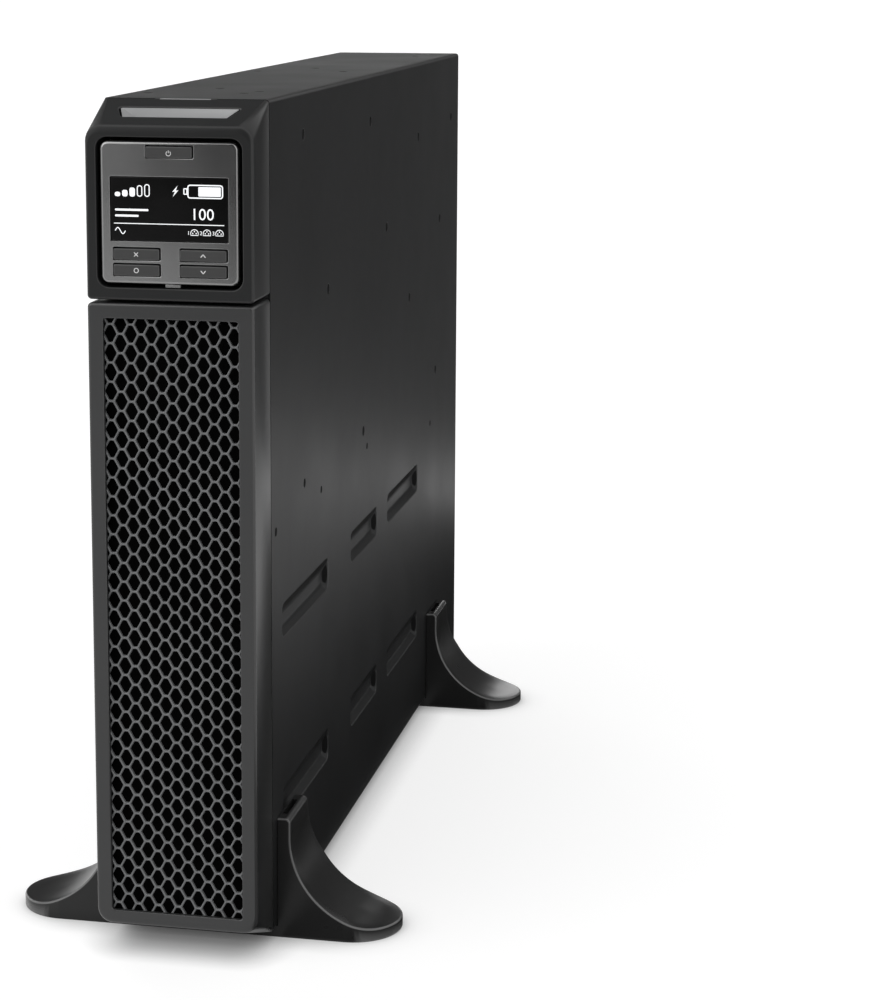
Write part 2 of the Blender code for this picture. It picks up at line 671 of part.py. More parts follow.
def make_display_bezel():
    bezel = bezel_shell("display_bezel", SPLIT_Z + SPLIT_GAP / 2, CASE_HEIGHT, 0, 1)
    floor = well_floor_y()
    outside = rounded(*display_square(WELL_MARGIN + WELL_WALL), DISPLAY_CORNER)
    well = plate("well_block", [outside], FRONT_Y + BEZEL_EDGE / 2, floor + WELL_WALL, "Y")
    pegs = [peg(CASE_HEIGHT - below, side, floor) for below in UPPER_PEGS_BELOW_TOP for side in (-1, 1)]
    join(bezel, well, *pegs)
    inside = rounded(*display_square(WELL_MARGIN), DISPLAY_CORNER)
    mouth = plate("well_mouth", [inside], FRONT_Y - BEZEL_EDGE, floor, "Y")
    bore = rod("spigot_bore", SPIGOT_RADIUS + GAP, display_centre(), "Y", floor - GAP, CASE_FRONT_Y, 24)
    slot = [(side * half, FRONT_Y + depth) for (half, depth), side in
            ((SLOT_FRONT, -1), (SLOT_FRONT, 1), (SLOT_BACK, 1), (SLOT_BACK, -1))]
    top = up(CASE_HEIGHT)
    finger_slot = plate("finger_slot", [slot], top - BEZEL_SLANT - BEZEL_WALL, top + BEZEL_WALL, "Z")
    cut(bezel, mouth, bore, finger_slot)
    finish(bezel, *BLACK_PLASTIC)


def mesh_span():
    return (-MESH_HALF_WIDTH, MESH_HALF_WIDTH, up(MESH_LOW_Z), up(SPLIT_Z - MESH_BELOW_SPLIT))


def make_front_bezel():
    bezel = bezel_shell("front_bezel", 0, SPLIT_Z - SPLIT_GAP / 2, 1, 0)
    window = plate("mesh_window", [rounded(*mesh_span(), BEZEL_EDGE)], FRONT_Y - BEZEL_EDGE,
                   FRONT_Y + 2 * BEZEL_WALL, "Y")
    behind_mesh = FRONT_Y + BEZEL_WALL + MESH_THICKNESS + 2 * GAP
    cut(bezel, window)
    join(bezel, *[peg(z, side, behind_mesh) for z in LOWER_PEGS_Z for side in (-1, 1)])
    finish(bezel, *BLACK_PLASTIC)
    return bezel


def mesh_cells():
    # Flat-topped hexagons in columns, every other column half a row up
    low_u, high_u, low_v, high_v = mesh_span()
    half_flat = MESH_FLAT / 2
    half_wide = MESH_COLUMN - half_flat
    shrink_u = 1 - MESH_STRAND / (2 * half_wide)
    shrink_v = 1 - MESH_STRAND / MESH_ROW
    corners = [(half_wide, 0), (half_flat, MESH_ROW / 2), (-half_flat, MESH_ROW / 2),
               (-half_wide, 0), (-half_flat, -MESH_ROW / 2), (half_flat, -MESH_ROW / 2)]
    columns = int((high_u - low_u) / 2 / MESH_COLUMN)
    cells = []
    for column in range(-columns, columns + 1):
        shift = abs(column) % 2 * MESH_ROW / 2
        for row in range(int((high_v - low_v) / MESH_ROW) + 1):
            u, v = column * MESH_COLUMN, low_v + MESH_ROW / 2 + shift + row * MESH_ROW
            fits = v + MESH_ROW / 2 <= high_v and abs(u) + half_wide * shrink_u <= high_u
            if fits:
                cells.append([(u + a * shrink_u, v + b * shrink_v) for a, b in corners])
    return cells


def make_bezel_mesh():
    back = FRONT_Y + BEZEL_WALL + GAP
    outlines = [rectangle(*grown(mesh_span(), MESH_LIP))] + mesh_cells()
    mesh = plate("bezel_mesh", outlines, back, back + MESH_THICKNESS, "Y")
    finish(mesh, *BLACK_PLASTIC)
    return mesh


# Display module

def key_width():
    return (DISPLAY_SIZE - 2 * KEY_SIDE - KEY_COLUMN_GAP) / 2


def key_places():
    # Key centres from the module's centre: one at the top, and two columns of two at the bottom
    half = DISPLAY_SIZE / 2
    column = (KEY_COLUMN_GAP + key_width()) / 2
    upper, lower = (above - half for above in KEY_ROWS_ABOVE_EDGE)
    return {
        "power_button": (0, half - POWER_BELOW_EDGE),
        "back_button": (-column, upper),
        "enter_button": (-column, lower),
        "up_button": (column, upper),
        "down_button": (column, lower),
    }


def key_span(place, margin):
    centre = (place[0], up(DISPLAY_Z) + place[1])
    return rectangle(*grown(centred(centre, key_width(), KEY_HEIGHT), margin))


def window_span():
    places = key_places()
    half = DISPLAY_SIZE / 2 - WINDOW_SIDE
    low = places["up_button"][1] + KEY_HEIGHT / 2 + WINDOW_ABOVE_KEYS
    high = places["power_button"][1] - KEY_HEIGHT / 2 - WINDOW_BELOW_POWER
    return (-half, half, up(DISPLAY_Z) + low, up(DISPLAY_Z) + high)


def make_display():
    face = FRONT_Y + DISPLAY_SETBACK
    back = face + DISPLAY_DEPTH
    housing = plate("display_housing", [rounded(*display_square(0), DISPLAY_CORNER)], face, back, "Y")
    spigot = rod("spigot", SPIGOT_RADIUS, display_centre(), "Y", back - GAP, back + SPIGOT_LENGTH, 24)
    join(housing, spigot)
    window_back = face + GAP + WINDOW_THICKNESS
    recess = grown(window_span(), GAP)
    pockets = [key_span(place, GAP) for place in key_places().values()]
    pocket_back = face + KEY_DEPTH + KEY_TRAVEL + KEY_POCKET_SPARE
    cut(
        housing,
        plate("window_recess", [rectangle(*recess)], face - GAP, window_back + GAP, "Y"),
        plate("key_pockets", pockets, face - GAP, pocket_back, "Y"),
    )
    finish(housing, (0.06, 0.06, 0.062), 0.42)
    window = plate("display_window", [rectangle(*window_span())], face + GAP, window_back, "Y")
    finish(window, (0.004, 0.004, 0.005), 0.08)
    keys = []
    for name, place in key_places().items():
        key = plate(name, [key_span(place, 0)], face, face + KEY_DEPTH, "Y")
        finish(key, (0.045, 0.045, 0.047), 0.5)
        keys.append(key)
    carry(carrier("display_pull", (0, face, up(DISPLAY_Z))), housing, window, *keys)


# Feet

def make_foot(name, side, front):
    wall = HALF + GAP
    skin = wall + FOOT_SKIN
    tip = FOOT_HALF_WIDTH
    arc_centre = (skin + FOOT_WING_RADIUS, FOOT_TIP + FOOT_WING_RADIUS)
    nose = FOOT_TIP / 2
    profile = (
        [(GAP / 2, 0)]
        + arc((tip - nose, nose), nose, -90, 90, 4)
        + arc(arc_centre, FOOT_WING_RADIUS, 270, 180, 6)
        + [(skin, FOOT_HEIGHT), (wall, FOOT_HEIGHT), (wall, FOOT_BASE - GAP), (GAP / 2, FOOT_BASE - GAP)]
    )
    foot = plate(name, [[(side * x, z) for x, z in profile]], front, front + FOOT_LENGTH, "Y")
    middle = front + FOOT_LENGTH / 2
    half_length = FOOT_LENGTH / 2
    tongue = [(tip - FOOT_TONGUE * (1 - u), middle + v * half_length) for u, v in arc((0, 0), 1, -90, 90, 8)]
    plan = [(0, front), *tongue, (0, front + FOOT_LENGTH)]
    plan = [(side * x, y) for x, y in plan]
    lean = [(front, -GAP), (front + FOOT_LENGTH, -GAP), (front + FOOT_LENGTH, FOOT_SHOULDER),
            (front + FOOT_TOP_LENGTH, FOOT_HEIGHT + GAP), (front, FOOT_HEIGHT + GAP)]
    across = sorted((0, side * (tip + GAP)))
    seen_from_above = plate("foot_plan", [plan], -GAP, FOOT_HEIGHT + GAP, "Z")
    seen_from_side = plate("foot_lean", [lean], *across, "X")
    combine(foot, "INTERSECT", seen_from_above, seen_from_side)
    width, depth, length = FOOT_POCKET
    pocket_x = (wall + skin - width) / 2
    near, far = sorted((side * pocket_x, side * (pocket_x + width)))
    first = front + (FOOT_TOP_LENGTH - length) / 2
    low, high = FOOT_HEIGHT - depth, FOOT_HEIGHT + GAP
    cut(foot, block("foot_pocket", (near, first, low), (far, first + length, high)))
    finish(foot, *BLACK_PLASTIC)


# Inside the case

def make_batteries():
    first, second, last = pack_span()
    floor = tray_floor()
    wall = TRAY_INNER + SHEET
    top = floor + SHEET + GAP + PACK_HEIGHT
    channel = [(-wall, floor), (wall, floor), (wall, floor + TRAY_SIDE), (TRAY_INNER, floor + TRAY_SIDE),
               (TRAY_INNER, floor + SHEET), (-TRAY_INNER, floor + SHEET), (-TRAY_INNER, floor + TRAY_SIDE),
               (-wall, floor + TRAY_SIDE)]
    front = first - GAP - SHEET
    tray = plate("battery_tray", [channel], front, last + SHEET, "Y")
    door = block("tray_front", (-wall, front, floor), (wall, front + SHEET, top))
    end = block("tray_end", (-wall, last, floor), (wall, last + SHEET, floor + TRAY_SIDE))
    join(tray, door, end)
    finish(tray, *BARE_STEEL)
    for name, start in (("battery_pack_front", first), ("battery_pack_rear", second)):
        half = BLOCK_SIZE[0] / 2
        low = floor + SHEET + GAP
        pack = block(name, (-half, start, low), (half, start + BLOCK_SIZE[1], low + PACK_HEIGHT))
        bevel = pack.modifiers.new("edges", "BEVEL")
        bevel.width = PACK_BEVEL
        bevel.segments = 1
        finish(pack, (0.12, 0.13, 0.15), 0.5)


def board_heights():
    near, far = BOARD_BELOW_TOP
    return up(CASE_HEIGHT - far), up(CASE_HEIGHT - near)


def board_face():
    return BOARD_X - BOARD_THICKNESS - GAP


def make_power_board():
    low, high = board_heights()
    outline = rectangle(CASE_FRONT_Y + BOARD_SPAN[0], CASE_FRONT_Y + BOARD_SPAN[1], low, high)
    board = plate("power_board", [outline], BOARD_X - BOARD_THICKNESS, BOARD_X, "X")
    finish(board, (0.02, 0.12, 0.05), 0.5)


def make_heat_sink():
    # A base with a comb of fins that point away from the board
    thickness, pitch, length = SINK_FIN
    low, high = board_heights()
    middle = (low + high) / 2
    start = middle - pitch * (SINK_FINS - 1) / 2 - thickness / 2
    stop = start + pitch * (SINK_FINS - 1) + thickness
    base = board_face() - SINK_BASE
    comb = [(board_face(), stop), (board_face(), start)]
    for fin in range(SINK_FINS):
        root = start + fin * pitch
        comb += [(base, root), (base - length, root)]
        comb += [(base - length, root + thickness), (base, root + thickness)]
    comb = comb[:2] + comb[3:-1]
    sink = plate("heat_sink", [comb], CASE_FRONT_Y + SINK_SPAN[0], CASE_FRONT_Y + SINK_SPAN[1], "Y")
    finish(sink, (0.6, 0.61, 0.62), 0.4, 1.0)


def make_choke():
    low, high = board_heights()
    major, minor = CHOKE_RADII
    bpy.ops.mesh.primitive_torus_add(
        major_segments=20, minor_segments=8, major_radius=major, minor_radius=minor,
        location=(board_face() - minor, CASE_FRONT_Y + CHOKE_DEPTH, (low + high) / 2),
        rotation=(0, math.pi / 2, 0),
    )
    choke = bpy.context.object
    choke.name = "choke"
    choke.data.shade_smooth()
    for collection in choke.users_collection:
        collection.objects.unlink(choke)
    PARTS.objects.link(choke)
    finish(choke, (0.45, 0.2, 0.08), 0.35, 0.8)


def make_capacitor_bank():
    low, high = board_heights()
    face = board_face()
    first = CASE_FRONT_Y + CAN_DEPTH - CAN_RADIUS
    middle = (low + high) / 2
    edge = CAN_PITCH / 2 + CAN_RADIUS
    last = first + CAN_PITCH + 2 * CAN_RADIUS
    bank = block("capacitor_bank", (face - CAN_CARRIER, first, middle - edge), (face, last, middle + edge))
    root, top = face - CAN_CARRIER / 2, face - CAN_CARRIER - CAN_HEIGHT
    for along in (0, CAN_PITCH):
        for above in (-CAN_PITCH / 2, CAN_PITCH / 2):
            centre = (CASE_FRONT_Y + CAN_DEPTH + along, middle + above)
            join(bank, rod("can", CAN_RADIUS, centre, "X", top, root, 12))
    finish(bank, (0.03, 0.05, 0.12), 0.4)


def make_fan(position, height):
    centre = (INNER - GAP - FAN_SIZE / 2, up(height))
    back = REAR_Y - FAN_SETBACK
    front = back - FAN_DEPTH
    square = rounded(*centred(centre, FAN_SIZE, FAN_SIZE), 3 * GAP, 1)
    frame = plate(f"fan_frame_{position}", [square, circle(centre, FAN_BORE_RADIUS, 24)], front, back, "Y")
    motor = rod("motor_plate", FAN_HUB_RADIUS, centre, "Y", front, front + FAN_PLATE, 16)
    reach = FAN_BORE_RADIUS + GAP
    strut = FAN_PLATE / 2
    join(frame, motor)
    for half_x, half_z in ((reach, strut), (strut, reach)):
        corner = (centre[0] - half_x, front, centre[1] - half_z)
        opposite = (centre[0] + half_x, front + FAN_PLATE, centre[1] + half_z)
        join(frame, block("strut", corner, opposite))
    cut(frame, rod("bearing", FAN_SHAFT_RADIUS + GAP, centre, "Y", front - GAP, front + FAN_PLATE + GAP, 12))
    finish(frame, *BLACK_PLASTIC)

    hub_front = front + FAN_PLATE + GAP
    hub_back = hub_front + FAN_HUB_LENGTH
    rotor = rod(f"fan_rotor_{position}", FAN_HUB_RADIUS, centre, "Y", hub_front, hub_back, 16)
    shaft = rod("fan_shaft", FAN_SHAFT_RADIUS, centre, "Y", front, hub_front + FAN_PLATE, 12)
    join(rotor, shaft)
    thickness, chord = FAN_BLADE
    root, tip = FAN_HUB_RADIUS / 2, FAN_BORE_RADIUS - FAN_BLADE_GAP
    middle = Vector((centre[0], (hub_front + hub_back) / 2, centre[1]))
    for i in range(FAN_BLADES):
        blade = block("fan_blade", (-thickness / 2, -chord / 2, root), (thickness / 2, chord / 2, tip))
        turn = Matrix.Rotation(2 * math.pi * i / FAN_BLADES, 4, "Y")
        twist = Matrix.Rotation(math.radians(FAN_BLADE_PITCH), 4, "Z")
        blade.matrix_world = Matrix.Translation(middle) @ turn @ twist @ blade.matrix_world
        join(rotor, blade)
    finish(rotor, *BLACK_PLASTIC)
    carry(carrier(f"fan_axis_{position}", middle), rotor)


# Rear fittings

def make_outlet_plate():
    low_x, high_x = PLATE_X
    low_z, high_z = PLATE_Z
    tab_low_x, tab_high_x, tab_z = TOP_TAB
    foot_low_x, foot_high_x, foot_z = BOTTOM_TAB
    dip_x, dip_z, dip_radius = NOTCH
    edge = math.degrees(math.asin((dip_z - tab_z) / dip_radius))
    outline = (
        [(foot_low_x, foot_z), (foot_high_x, foot_z), (foot_high_x, low_z), (high_x, low_z)]
        + [(high_x, high_z), (tab_high_x, high_z), (tab_high_x, tab_z)]
        + arc((dip_x, dip_z), dip_radius, -edge, -180 + edge, 8)
        + [(tab_low_x, tab_z), (tab_low_x, high_z), (low_x, high_z), (low_x, low_z), (foot_low_x, low_z)]
    )
    spans = [grown(LARGE_BLOCK, GAP - BODY_INSET)]
    spans += [grown(bank_span(x), GAP - BODY_INSET) for x in BANK_CENTRES_X]
    holes = [rectangle(*raised(span)) for span in spans]
    holes += [shank_hole(place) for place in PLATE_SCREWS + (GROUND_SCREW,)]
    outlines = [[(x, up(z)) for x, z in outline]] + holes
    finish(plate("outlet_plate", outlines, PLATE_BACK_Y, PLATE_FRONT_Y, "Y"), (0.72, 0.73, 0.74), 0.4)


def bank_span(centre_x):
    return (centre_x - BANK_WIDTH / 2, centre_x + BANK_WIDTH / 2, *BANK_Z)


def chamfered(centre, size, chamfer):
    # A rectangle with both lower corners cut off
    low_u, high_u, low_v, high_v = centred(centre, *size)
    return [(low_u + chamfer, low_v), (high_u - chamfer, low_v), (high_u, low_v + chamfer), (high_u, high_v),
            (low_u, high_v), (low_u, low_v + chamfer)]


def make_outlets(name, span, rings, slots):
    # A flange in front of the outlet plate and a body behind it, with ring grooves and contact slots
    face = REAR_Y + REAR_PROUD
    outlets = plate(name, [rounded(*raised(span), BEND_RADIUS, 1)], PLATE_FRONT_Y + GAP, face, "Y")
    body = plate("outlet_body", [rectangle(*raised(grown(span, -BODY_INSET)))], face - OUTLET_BACK,
                 PLATE_FRONT_Y + 2 * GAP, "Y")
    join(outlets, body)
    cut(
        outlets,
        plate("outlet_rings", rings, face - RING_DEPTH, face + GAP, "Y"),
        plate("outlet_slots", slots, face - SLOT_HOLE_DEPTH, face + GAP, "Y"),
    )
    finish(outlets, *OUTLET_PLASTIC)


def make_large_outlets():
    rings, slots = [], []
    for mirror, x in zip((1, -1), LARGE_CENTRES_X):
        centre = (x, up(LARGE_CENTRE_Z))
        rings += [rectangle(*centred(centre, *LARGE_RING)), rectangle(*centred(centre, *LARGE_CORE))]
        for u, v in LARGE_SLOT_PLACES:
            slots.append(rectangle(*centred((x + mirror * u, centre[1] + v), *LARGE_SLOT)))
    make_outlets("large_outlet_block", LARGE_BLOCK, rings, slots)


def make_outlet_bank(name, centre_x):
    rings, slots = [], []
    core_chamfer = SOCKET_CHAMFER - (SOCKET_RING[0] - SOCKET_CORE[0]) / 2
    for z in SOCKET_CENTRES_Z:
        centre = (centre_x, up(z))
        rings.append(chamfered(centre, SOCKET_RING, SOCKET_CHAMFER))
        rings.append(chamfered(centre, SOCKET_CORE, core_chamfer))
        for u, v in SOCKET_SLOT_PLACES:
            slots.append(rectangle(*centred((centre_x + u, centre[1] + v), *SOCKET_SLOT)))
    make_outlets(name, bank_span(centre_x), rings, slots)


def make_power_inlet():
    centre = (INLET_CENTRE[0], up(INLET_CENTRE[1]))
    width, height, thickness = INLET_FLANGE
    face = PLATE_BACK_Y + thickness
    cavity_width, cavity_height, depth = INLET_CAVITY
    floor = face - depth
    back = floor - INLET_FLOOR
    flange = rounded(*centred(centre, width, height), INLET_CORNER)
    inlet = plate("power_inlet", [flange], PLATE_BACK_Y, face, "Y")
    body = rounded(*centred(centre, *INLET_BODY), INLET_CORNER, 2)
    join(inlet, plate("inlet_body", [body], back, PLATE_BACK_Y + GAP, "Y"))
    cavity = rounded(*centred(centre, cavity_width, cavity_height), INLET_CORNER - GAP, 2)
    places = [(centre[0] + u, centre[1] + v) for u, v in BLADE_PLACES]
    ways = [rectangle(*grown(centred(place, *BLADE_SIZE), GAP)) for place in places]
    cut(inlet, plate("inlet_cavity", [cavity], floor, face + GAP, "Y"),
        plate("blade_ways", ways, back - GAP, floor + GAP, "Y"))
    finish(inlet, *OUTLET_PLASTIC)

    insert_width, insert_height, insert_depth = INSERT_SIZE
    base = back - GAP - insert_depth
    insert = plate("inlet_blade_insert", [rectangle(*centred(centre, insert_width, insert_height))],
                   base, back - GAP, "Y")
    for place in places:
        low_u, high_u, low_v, high_v = centred(place, *BLADE_SIZE)
        join(insert, block("blade", (low_u, base + GAP, low_v), (high_u, face - BLADE_SETBACK, high_v)))
    finish(insert, *ZINC)


def make_battery_connector():
    centre = (CABINET_CENTRE[0], up(CABINET_CENTRE[1]))
    panel_back = REAR_Y - SHEET - GAP
    width, height, thickness = CABINET_FLANGE
    face = REAR_Y - CABINET_SETBACK
    connector = plate("battery_connector", [rectangle(*centred(centre, width, height))],
                      panel_back - thickness, panel_back, "Y")
    body = rectangle(*centred(centre, *CABINET_BODY))
    join(connector, plate("connector_body", [body], face - CABINET_DEPTH, face, "Y"))
    pocket_width, pocket_height, depth = CABINET_POCKET
    holes = []
    for u in CABINET_POCKETS_X:
        middle = (centre[0] + u, centre[1] - CABINET_POCKET_DROP)
        holes.append(rectangle(*centred(middle, pocket_width, pocket_height)))
    for u in CABINET_SOCKETS_X:
        for v in CABINET_SOCKETS_Z:
            holes.append(circle((centre[0] + u, centre[1] + v), CABINET_SOCKET_RADIUS))
    cut(connector, plate("connector_pockets", holes, face - depth, face + GAP, "Y"))
    finish(connector, (0.02, 0.13, 0.03), 0.5)


def make_jack(name, jack, colour):
    centre, width, height = jack
    centre = (centre[0], up(centre[1]))
    face = REAR_Y + JACK_PROUD
    body = plate(name, [rectangle(*centred(centre, width, height))], face - JACK_DEPTH, face, "Y")
    across, tall, depth = JACK_CAVITY
    middle = centre[1] + JACK_CAVITY_RISE
    notch_width, notch_drop = JACK_NOTCH
    mouth = rectangle(*centred((centre[0], middle), across, tall))
    notch = rectangle(*centred((centre[0], middle - notch_drop), notch_width, tall))
    for shape in (mouth, notch):
        cut(body, plate("jack_mouth", [shape], face - depth, face + GAP, "Y"))
    finish(body, *colour)


def make_usb_port():
    centre, width, height = USB_PORT
    centre = (centre[0], up(centre[1]))
    face = REAR_Y + JACK_PROUD
    port = plate("usb_port", [rectangle(*centred(centre, width, height))], face - USB_DEPTH, face, "Y")
    mouth = grown(centred(centre, width, height), -USB_WALL)
    tongue = centred((centre[0] + USB_TONGUE_SHIFT, centre[1]), *USB_TONGUE)
    outlines = [rectangle(*mouth), rectangle(*tongue)]
    cut(port, plate("usb_mouth", outlines, face - USB_CAVITY_DEPTH, face + GAP, "Y"))
    finish(port, *ZINC)


def make_terminal():
    centre, width, height = TERMINAL
    centre = (centre[0], up(centre[1]))
    face = REAR_Y + TERMINAL_PROUD
    outside = rectangle(*centred(centre, width, height))
    terminal = plate("terminal_block", [outside], REAR_Y - TERMINAL_BACK, face, "Y")
    wide, tall, depth = TERMINAL_HOLE
    pitch = height / TERMINAL_POLES
    first = centre[1] - pitch * (TERMINAL_POLES - 1) / 2
    holes = [rectangle(*centred((centre[0], first + i * pitch), wide, tall)) for i in range(TERMINAL_POLES)]
    cut(terminal, plate("terminal_holes", holes, face - depth, face + GAP, "Y"))
    finish(terminal, (0.02, 0.09, 0.35), 0.45)


def make_card_cover():
    grips = [rectangle(*centred((CARD_GRIP_X, up(z)), *CARD_GRIP)) for z in CARD_GRIPS_Z]
    outlines = [rounded(*raised(CARD_COVER), CARD_CORNER, 2)] + grips
    outlines += [shank_hole(place) for place in COVER_SCREWS]
    finish(plate("card_slot_cover", outlines, PLATE_BACK_Y, PLATE_BACK_Y + SHEET, "Y"), *BLACK_PAINT)


# Screws

def screw_mesh(name, head):
    # A low domed head and its shank, turned about Z with the head upwards
    radius, height = head
    profile = [(0, height), (0.55 * radius, height), (0.92 * radius, 0.55 * height), (radius, 0),
               (SHANK_RADIUS, 0), (SHANK_RADIUS, -SHANK_LENGTH), (0, -SHANK_LENGTH)]
    mesh = bpy.data.meshes.new(name)
    mesh.from_pydata([(r, 0, z) for r, z in profile], [(i, i + 1) for i in range(len(profile) - 1)], [])
    return mesh


def make_screw(name, mesh, place, seat):
    turned = Matrix.Rotation(-math.pi / 2, 4, "X")
    screw = add_object(name, mesh, Matrix.Translation((place[0], seat, up(place[1]))) @ turned)
    spin = screw.modifiers.new("turn", "SCREW")
    spin.steps = SCREW_SIDES
    spin.render_steps = SCREW_SIDES
    spin.use_merge_vertices = True
    spin.merge_threshold = 0.01 * MM
    finish(screw, *ZINC)


def make_screws():
    lobe = screw_mesh("lobe_screw", LOBE_HEAD)
    cross = screw_mesh("cross_screw", CROSS_HEAD)
    ground = screw_mesh("ground_screw", GROUND_HEAD)
    on_panel = REAR_Y + GAP
    on_plate = PLATE_FRONT_Y + GAP
    on_cover = PLATE_BACK_Y + SHEET + GAP
    for i, place in enumerate(PANEL_SCREWS, 1):
        make_screw(f"panel_screw_{i}", lobe, place, on_panel)
    for i, place in enumerate(PLATE_SCREWS, 1):
        make_screw(f"outlet_plate_screw_{i}", lobe, place, on_plate)
    make_screw("ground_screw", ground, GROUND_SCREW, on_plate)
    for i, place in enumerate(COVER_SCREWS, 1):
        make_screw(f"card_cover_screw_{i}", cross, place, on_cover)
    make_screw("vent_screw", cross, VENT_SCREW, on_panel)


for old in list(bpy.data.objects):
    bpy.data.objects.remove(old)
PARTS = new_collection("rackmount_ups")
CUTTERS = new_collection("cutters")

make_chassis_tray()
make_side_cover()
make_rear_panel()
make_front_frame()
make_display_bezel()
bezel_axis = carrier("bezel_pull", (0, FRONT_Y, up(SPLIT_Z / 2)))
carry(bezel_axis, make_front_bezel(), make_bezel_mesh())
make_display()
for foot_side, side_name in ((-1, "left"), (1, "right")):
    make_foot(f"front_{side_name}_foot", foot_side, CASE_FRONT_Y + FRONT_FOOT_DEPTH)
    make_foot(f"rear_{side_name}_foot", foot_side, REAR_Y - REAR_FOOT_DEPTH - FOOT_LENGTH)
make_batteries()
make_power_board()
make_heat_sink()
make_choke()
make_capacitor_bank()
for fan_name, fan_height in zip(("upper", "lower"), FAN_CENTRES_Z):
    make_fan(fan_name, fan_height)
make_outlet_plate()
make_large_outlets()
for bank_name, bank_x in zip(("outlet_bank_right", "outlet_bank_left"), BANK_CENTRES_X):
    make_outlet_bank(bank_name, bank_x)
make_power_inlet()
make_battery_connector()
make_jack("network_jack", NETWORK_JACK, ZINC)
make_jack("serial_jack", SERIAL_JACK, BLACK_PLASTIC)
make_usb_port()
make_terminal()
make_card_cover()
make_screws()
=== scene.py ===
import math

import bmesh
import bpy
import numpy as np
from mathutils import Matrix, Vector
from mathutils.geometry import delaunay_2d_cdt


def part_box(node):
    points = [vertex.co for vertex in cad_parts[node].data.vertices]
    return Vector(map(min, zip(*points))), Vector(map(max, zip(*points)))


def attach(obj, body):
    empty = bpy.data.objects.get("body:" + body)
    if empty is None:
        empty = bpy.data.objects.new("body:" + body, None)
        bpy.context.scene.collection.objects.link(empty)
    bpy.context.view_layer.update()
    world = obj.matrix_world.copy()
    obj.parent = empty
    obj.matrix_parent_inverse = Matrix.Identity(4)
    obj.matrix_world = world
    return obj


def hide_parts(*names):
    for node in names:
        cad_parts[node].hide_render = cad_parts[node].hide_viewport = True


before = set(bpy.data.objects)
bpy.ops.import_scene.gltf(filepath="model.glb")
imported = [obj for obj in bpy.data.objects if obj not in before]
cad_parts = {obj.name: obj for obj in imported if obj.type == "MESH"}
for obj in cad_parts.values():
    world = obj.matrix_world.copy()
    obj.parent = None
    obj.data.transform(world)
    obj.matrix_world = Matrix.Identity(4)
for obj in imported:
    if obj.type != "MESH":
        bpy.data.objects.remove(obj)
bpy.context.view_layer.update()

# All sizes below are millimetres in the frame's axes: x to the right, y to the back, z up from the floor.
millimetre = 0.001
leastRadius = 0.01  # sharp corners are drawn with this radius
leastHole = 4.0  # square millimetres; holes that are cut smaller are left out
highlightStart, highlightFull = 16, 22  # degrees of turn from which an edge gets its painted highlight, and fully so


def nodeBox(name):
    low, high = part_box(name)
    return np.array(low) / millimetre, np.array(high) / millimetre


def frontBox(name):
    # low and high (x, z)
    return [corner[[0, 2]] for corner in nodeBox(name)]


def depthsOf(name):
    # low and high y
    return [corner[1] for corner in nodeBox(name)]


caseLow, caseHigh = nodeBox("chassis_tray")
frontY = depthsOf("front_bezel")[0]
bezelDepth = 33.0
bezelBack = frontY + bezelDepth
rearY = caseHigh[1]
caseHalf = caseHigh[0]
floorToCase = caseLow[2]
caseHeight = caseHigh[2] - caseLow[2]
caseTop = floorToCase + caseHeight


# Outlines in a plane, as arrays of (u, v), anticlockwise

def unit(vectors):
    return vectors / np.maximum(np.linalg.norm(vectors, axis=-1, keepdims=True), 1e-9)


def direction(angles):
    return np.stack([np.cos(angles), np.sin(angles)], -1)


def roundRect(low, high, radius, steps=6):
    # four quarter circles joined by straight runs; radius is one number or one for each corner,
    # from the lower right one anticlockwise
    radii = np.maximum(np.broadcast_to(np.asarray(radius, float), 4), leastRadius)
    signs = np.array([(1, -1), (1, 1), (-1, 1), (-1, -1)])
    corners = np.where(signs > 0, np.asarray(high, float), np.asarray(low, float))
    centres = corners - signs * radii[:, None]
    angles = np.radians(np.array([-90, 0, 90, 180])[:, None] + np.linspace(0, 90, steps + 1))
    return (centres[:, None] + direction(angles) * radii[:, None, None]).reshape(-1, 2)


def centredRect(centre, size, radius=0.0, steps=6):
    centre, half = np.asarray(centre, float), np.asarray(size, float) / 2
    return roundRect(centre - half, centre + half, radius, steps)


def circle(centre, radius, count=32):
    return np.asarray(centre, float) + radius * direction(np.arange(count) * 2 * math.pi / count)


def arc(centre, radius, first, last, count=24):
    return np.asarray(centre, float) + radius * direction(np.radians(np.linspace(first, last, count)))


def filletedPolygon(corners, radii, steps=4):
    # each corner becomes an arc that is tangent to its two sides
    corners = np.asarray(corners, float)
    radii = np.maximum(np.broadcast_to(np.asarray(radii, float), len(corners)), leastRadius)
    toLast, toNext = (unit(np.roll(corners, shift, 0) - corners) for shift in (1, -1))
    half = np.arccos(np.clip((toLast * toNext).sum(1), -1, 1)) / 2
    centres = corners + unit(toLast + toNext) * (radii / np.sin(half))[:, None]
    reach = (radii / np.tan(half))[:, None]
    start, stop = corners + toLast * reach - centres, corners + toNext * reach - centres
    first = np.arctan2(start[:, 1], start[:, 0])
    turn = np.arctan2(stop[:, 1], stop[:, 0]) - first
    turn = (turn + math.pi) % (2 * math.pi) - math.pi
    angles = first[:, None] + turn[:, None] * np.linspace(0, 1, steps + 1)
    return (centres[:, None] + direction(angles) * radii[:, None, None]).reshape(-1, 2)


def offsetLoop(loop, distance):
    # every point moves outwards along the mitre of its two sides' normals
    loop = np.asarray(loop, float)
    normal = unit(np.roll(loop, -1, 0) - loop)[:, ::-1] * (1, -1)
    before = np.roll(normal, 1, 0)
    mitre = (normal + before) / np.maximum(1 + (normal * before).sum(1, keepdims=True), 0.2)
    return loop + mitre * distance


